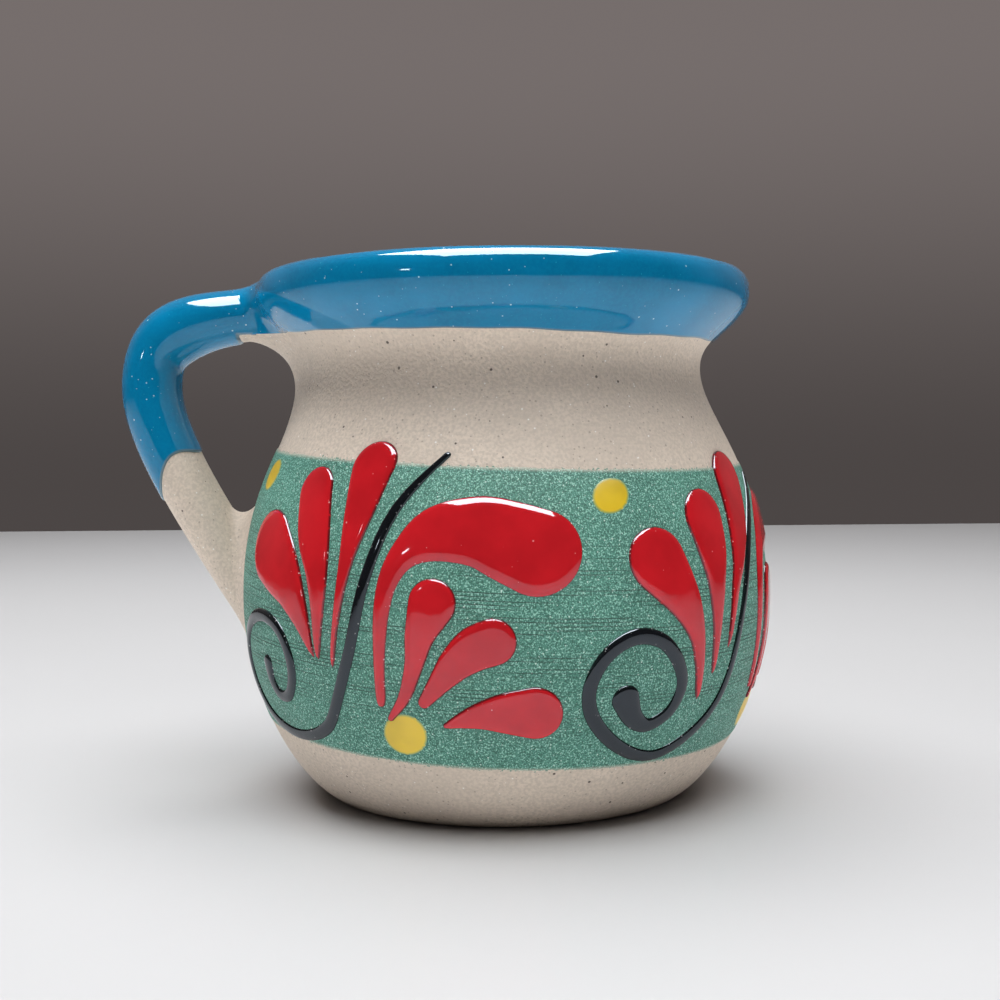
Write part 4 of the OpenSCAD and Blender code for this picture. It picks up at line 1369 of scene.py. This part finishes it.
def surroundings(backdrop):
    """Plain surroundings: behind the mug a wall that grows lighter upwards, and the other way a
    dark room, one fading into the other with the direction's Y."""
    world = bpy.data.worlds.new("surroundings")
    world.use_nodes = True
    nodes = Nodes(world.node_tree, "Generated")
    z = nodes.node("ShaderNodeSeparateXYZ", "Z", {0: nodes.at})
    wall = nodes.mix(nodes.mask(z, *WALL_Z), scaled(backdrop, WALL_START), backdrop)
    room = nodes.mix(nodes.mask(z.node.outputs["Y"], *ROOM_Y), scaled(backdrop, ROOM_LIGHT), wall)
    nodes.fill(nodes.tree.nodes["Background"].inputs["Color"], room)
    bpy.context.scene.world = world


class POT_OT_stage(Operator):
    """Set the floor, the lights and the camera"""

    bl_idname = "clay_mug.stage"
    bl_label = "Stage"

    def execute(self, context):
        stage = settings().stage
        camera = bpy.data.cameras.new("camera")
        camera.lens = stage.lens
        camera.sensor_width = SENSOR_MM
        camera.shift_x = CAMERA_SHIFT
        camera.clip_start = CLIP_START
        view = bpy.data.objects.new("camera", camera)
        view.matrix_world = (Matrix.Translation((0, -stage.distance, stage.eye))
                             @ Matrix.Rotation(math.pi / 2 - stage.pitch, 4, "X")
                             @ Matrix.Rotation(-stage.roll, 4, "Z"))
        context.scene.collection.objects.link(view)
        context.scene.camera = view

        mesh = bpy.data.meshes.new("floor")
        mesh.from_pydata([(x, y, -FLOOR_GAP) for x, y in (
            (-FLOOR_SIDE, FLOOR_NEAR), (FLOOR_SIDE, FLOOR_NEAR), (FLOOR_SIDE, FLOOR_FAR),
            (-FLOOR_SIDE, FLOOR_FAR))], [], [(0, 1, 2, 3)])
        floor = bpy.data.objects.new("floor", mesh)
        context.scene.collection.objects.link(floor)
        finish = Finish("pale_floor")
        base = finish.mix(finish.clouds(3, 3.0, 0.3, 0.7), scaled(stage.table, 0.97), stage.table)
        finish.set(Base_Color=base, Roughness=0.42, Specular_IOR_Level=0.3)
        mesh.materials.append(finish.material)

        key = soft_box("key_box", *KEY_BOX, stage.key)
        key.visible_glossy = False
        strip = soft_box("gloss_strip", *GLOSS_BOX, stage.gloss)
        window = soft_box("window", *WINDOW_BOX, stage.window)
        strip.visible_diffuse = window.visible_diffuse = False
        for inner, outer, strength in BOUNCE_RINGS:
            far, width = (inner + outer) / 2, outer - inner
            for x, y, size in ((0, -far, (2 * outer, width)), (0, far, (2 * outer, width)),
                               (-far, 0, (width, 2 * inner)), (far, 0, (width, 2 * inner))):
                power = stage.bounce * strength * size[0] * size[1]
                bounce = soft_box("bounce", (x, y, BOUNCE_LIFT), size, power, (x, y, 1))
                bounce.visible_camera = bounce.visible_glossy = False
        surroundings(stage.backdrop)
        context.scene.view_settings.view_transform = "Standard"
        return {"FINISHED"}


STEPS = (POT_OT_stage, POT_OT_clay, POT_OT_glaze, POT_OT_band, POT_OT_handle,
         POT_OT_handle_glaze, POT_OT_slip, POT_OT_fans, POT_OT_scrolls, POT_OT_sprays,
         POT_OT_dots)


class VIEW3D_PT_clay_mug(Panel):
    """The mug's sizes, colours and steps"""

    bl_label = "Clay mug"
    bl_idname = "VIEW3D_PT_clay_mug"
    bl_space_type = "VIEW_3D"
    bl_region_type = "UI"
    bl_category = "Clay mug"

    def draw(self, context):
        for name in ("form", "handle", "coats", "colours", "stage"):
            group = getattr(settings(), name)
            box = self.layout.box()
            box.label(text=name.capitalize())
            for key in group.__annotations__:
                box.prop(group, key)
        for step in STEPS:
            self.layout.operator(step.bl_idname)


CLASSES = (FormSizes, HandleSizes, CoatSizes, FinishColours, StageSettings, MugSettings, *STEPS,
           VIEW3D_PT_clay_mug)


def register():
    for cls in CLASSES:
        bpy.utils.register_class(cls)
    bpy.types.Scene.clay_mug = PointerProperty(type=MugSettings)


def unregister():
    del bpy.types.Scene.clay_mug
    for cls in reversed(CLASSES):
        bpy.utils.unregister_class(cls)


def main():
    """Builds the whole mug."""
    register()
    for step in STEPS:
        group, name = step.bl_idname.split(".")
        getattr(getattr(bpy.ops, group), name)()


if __name__ == "__main__":
    main()
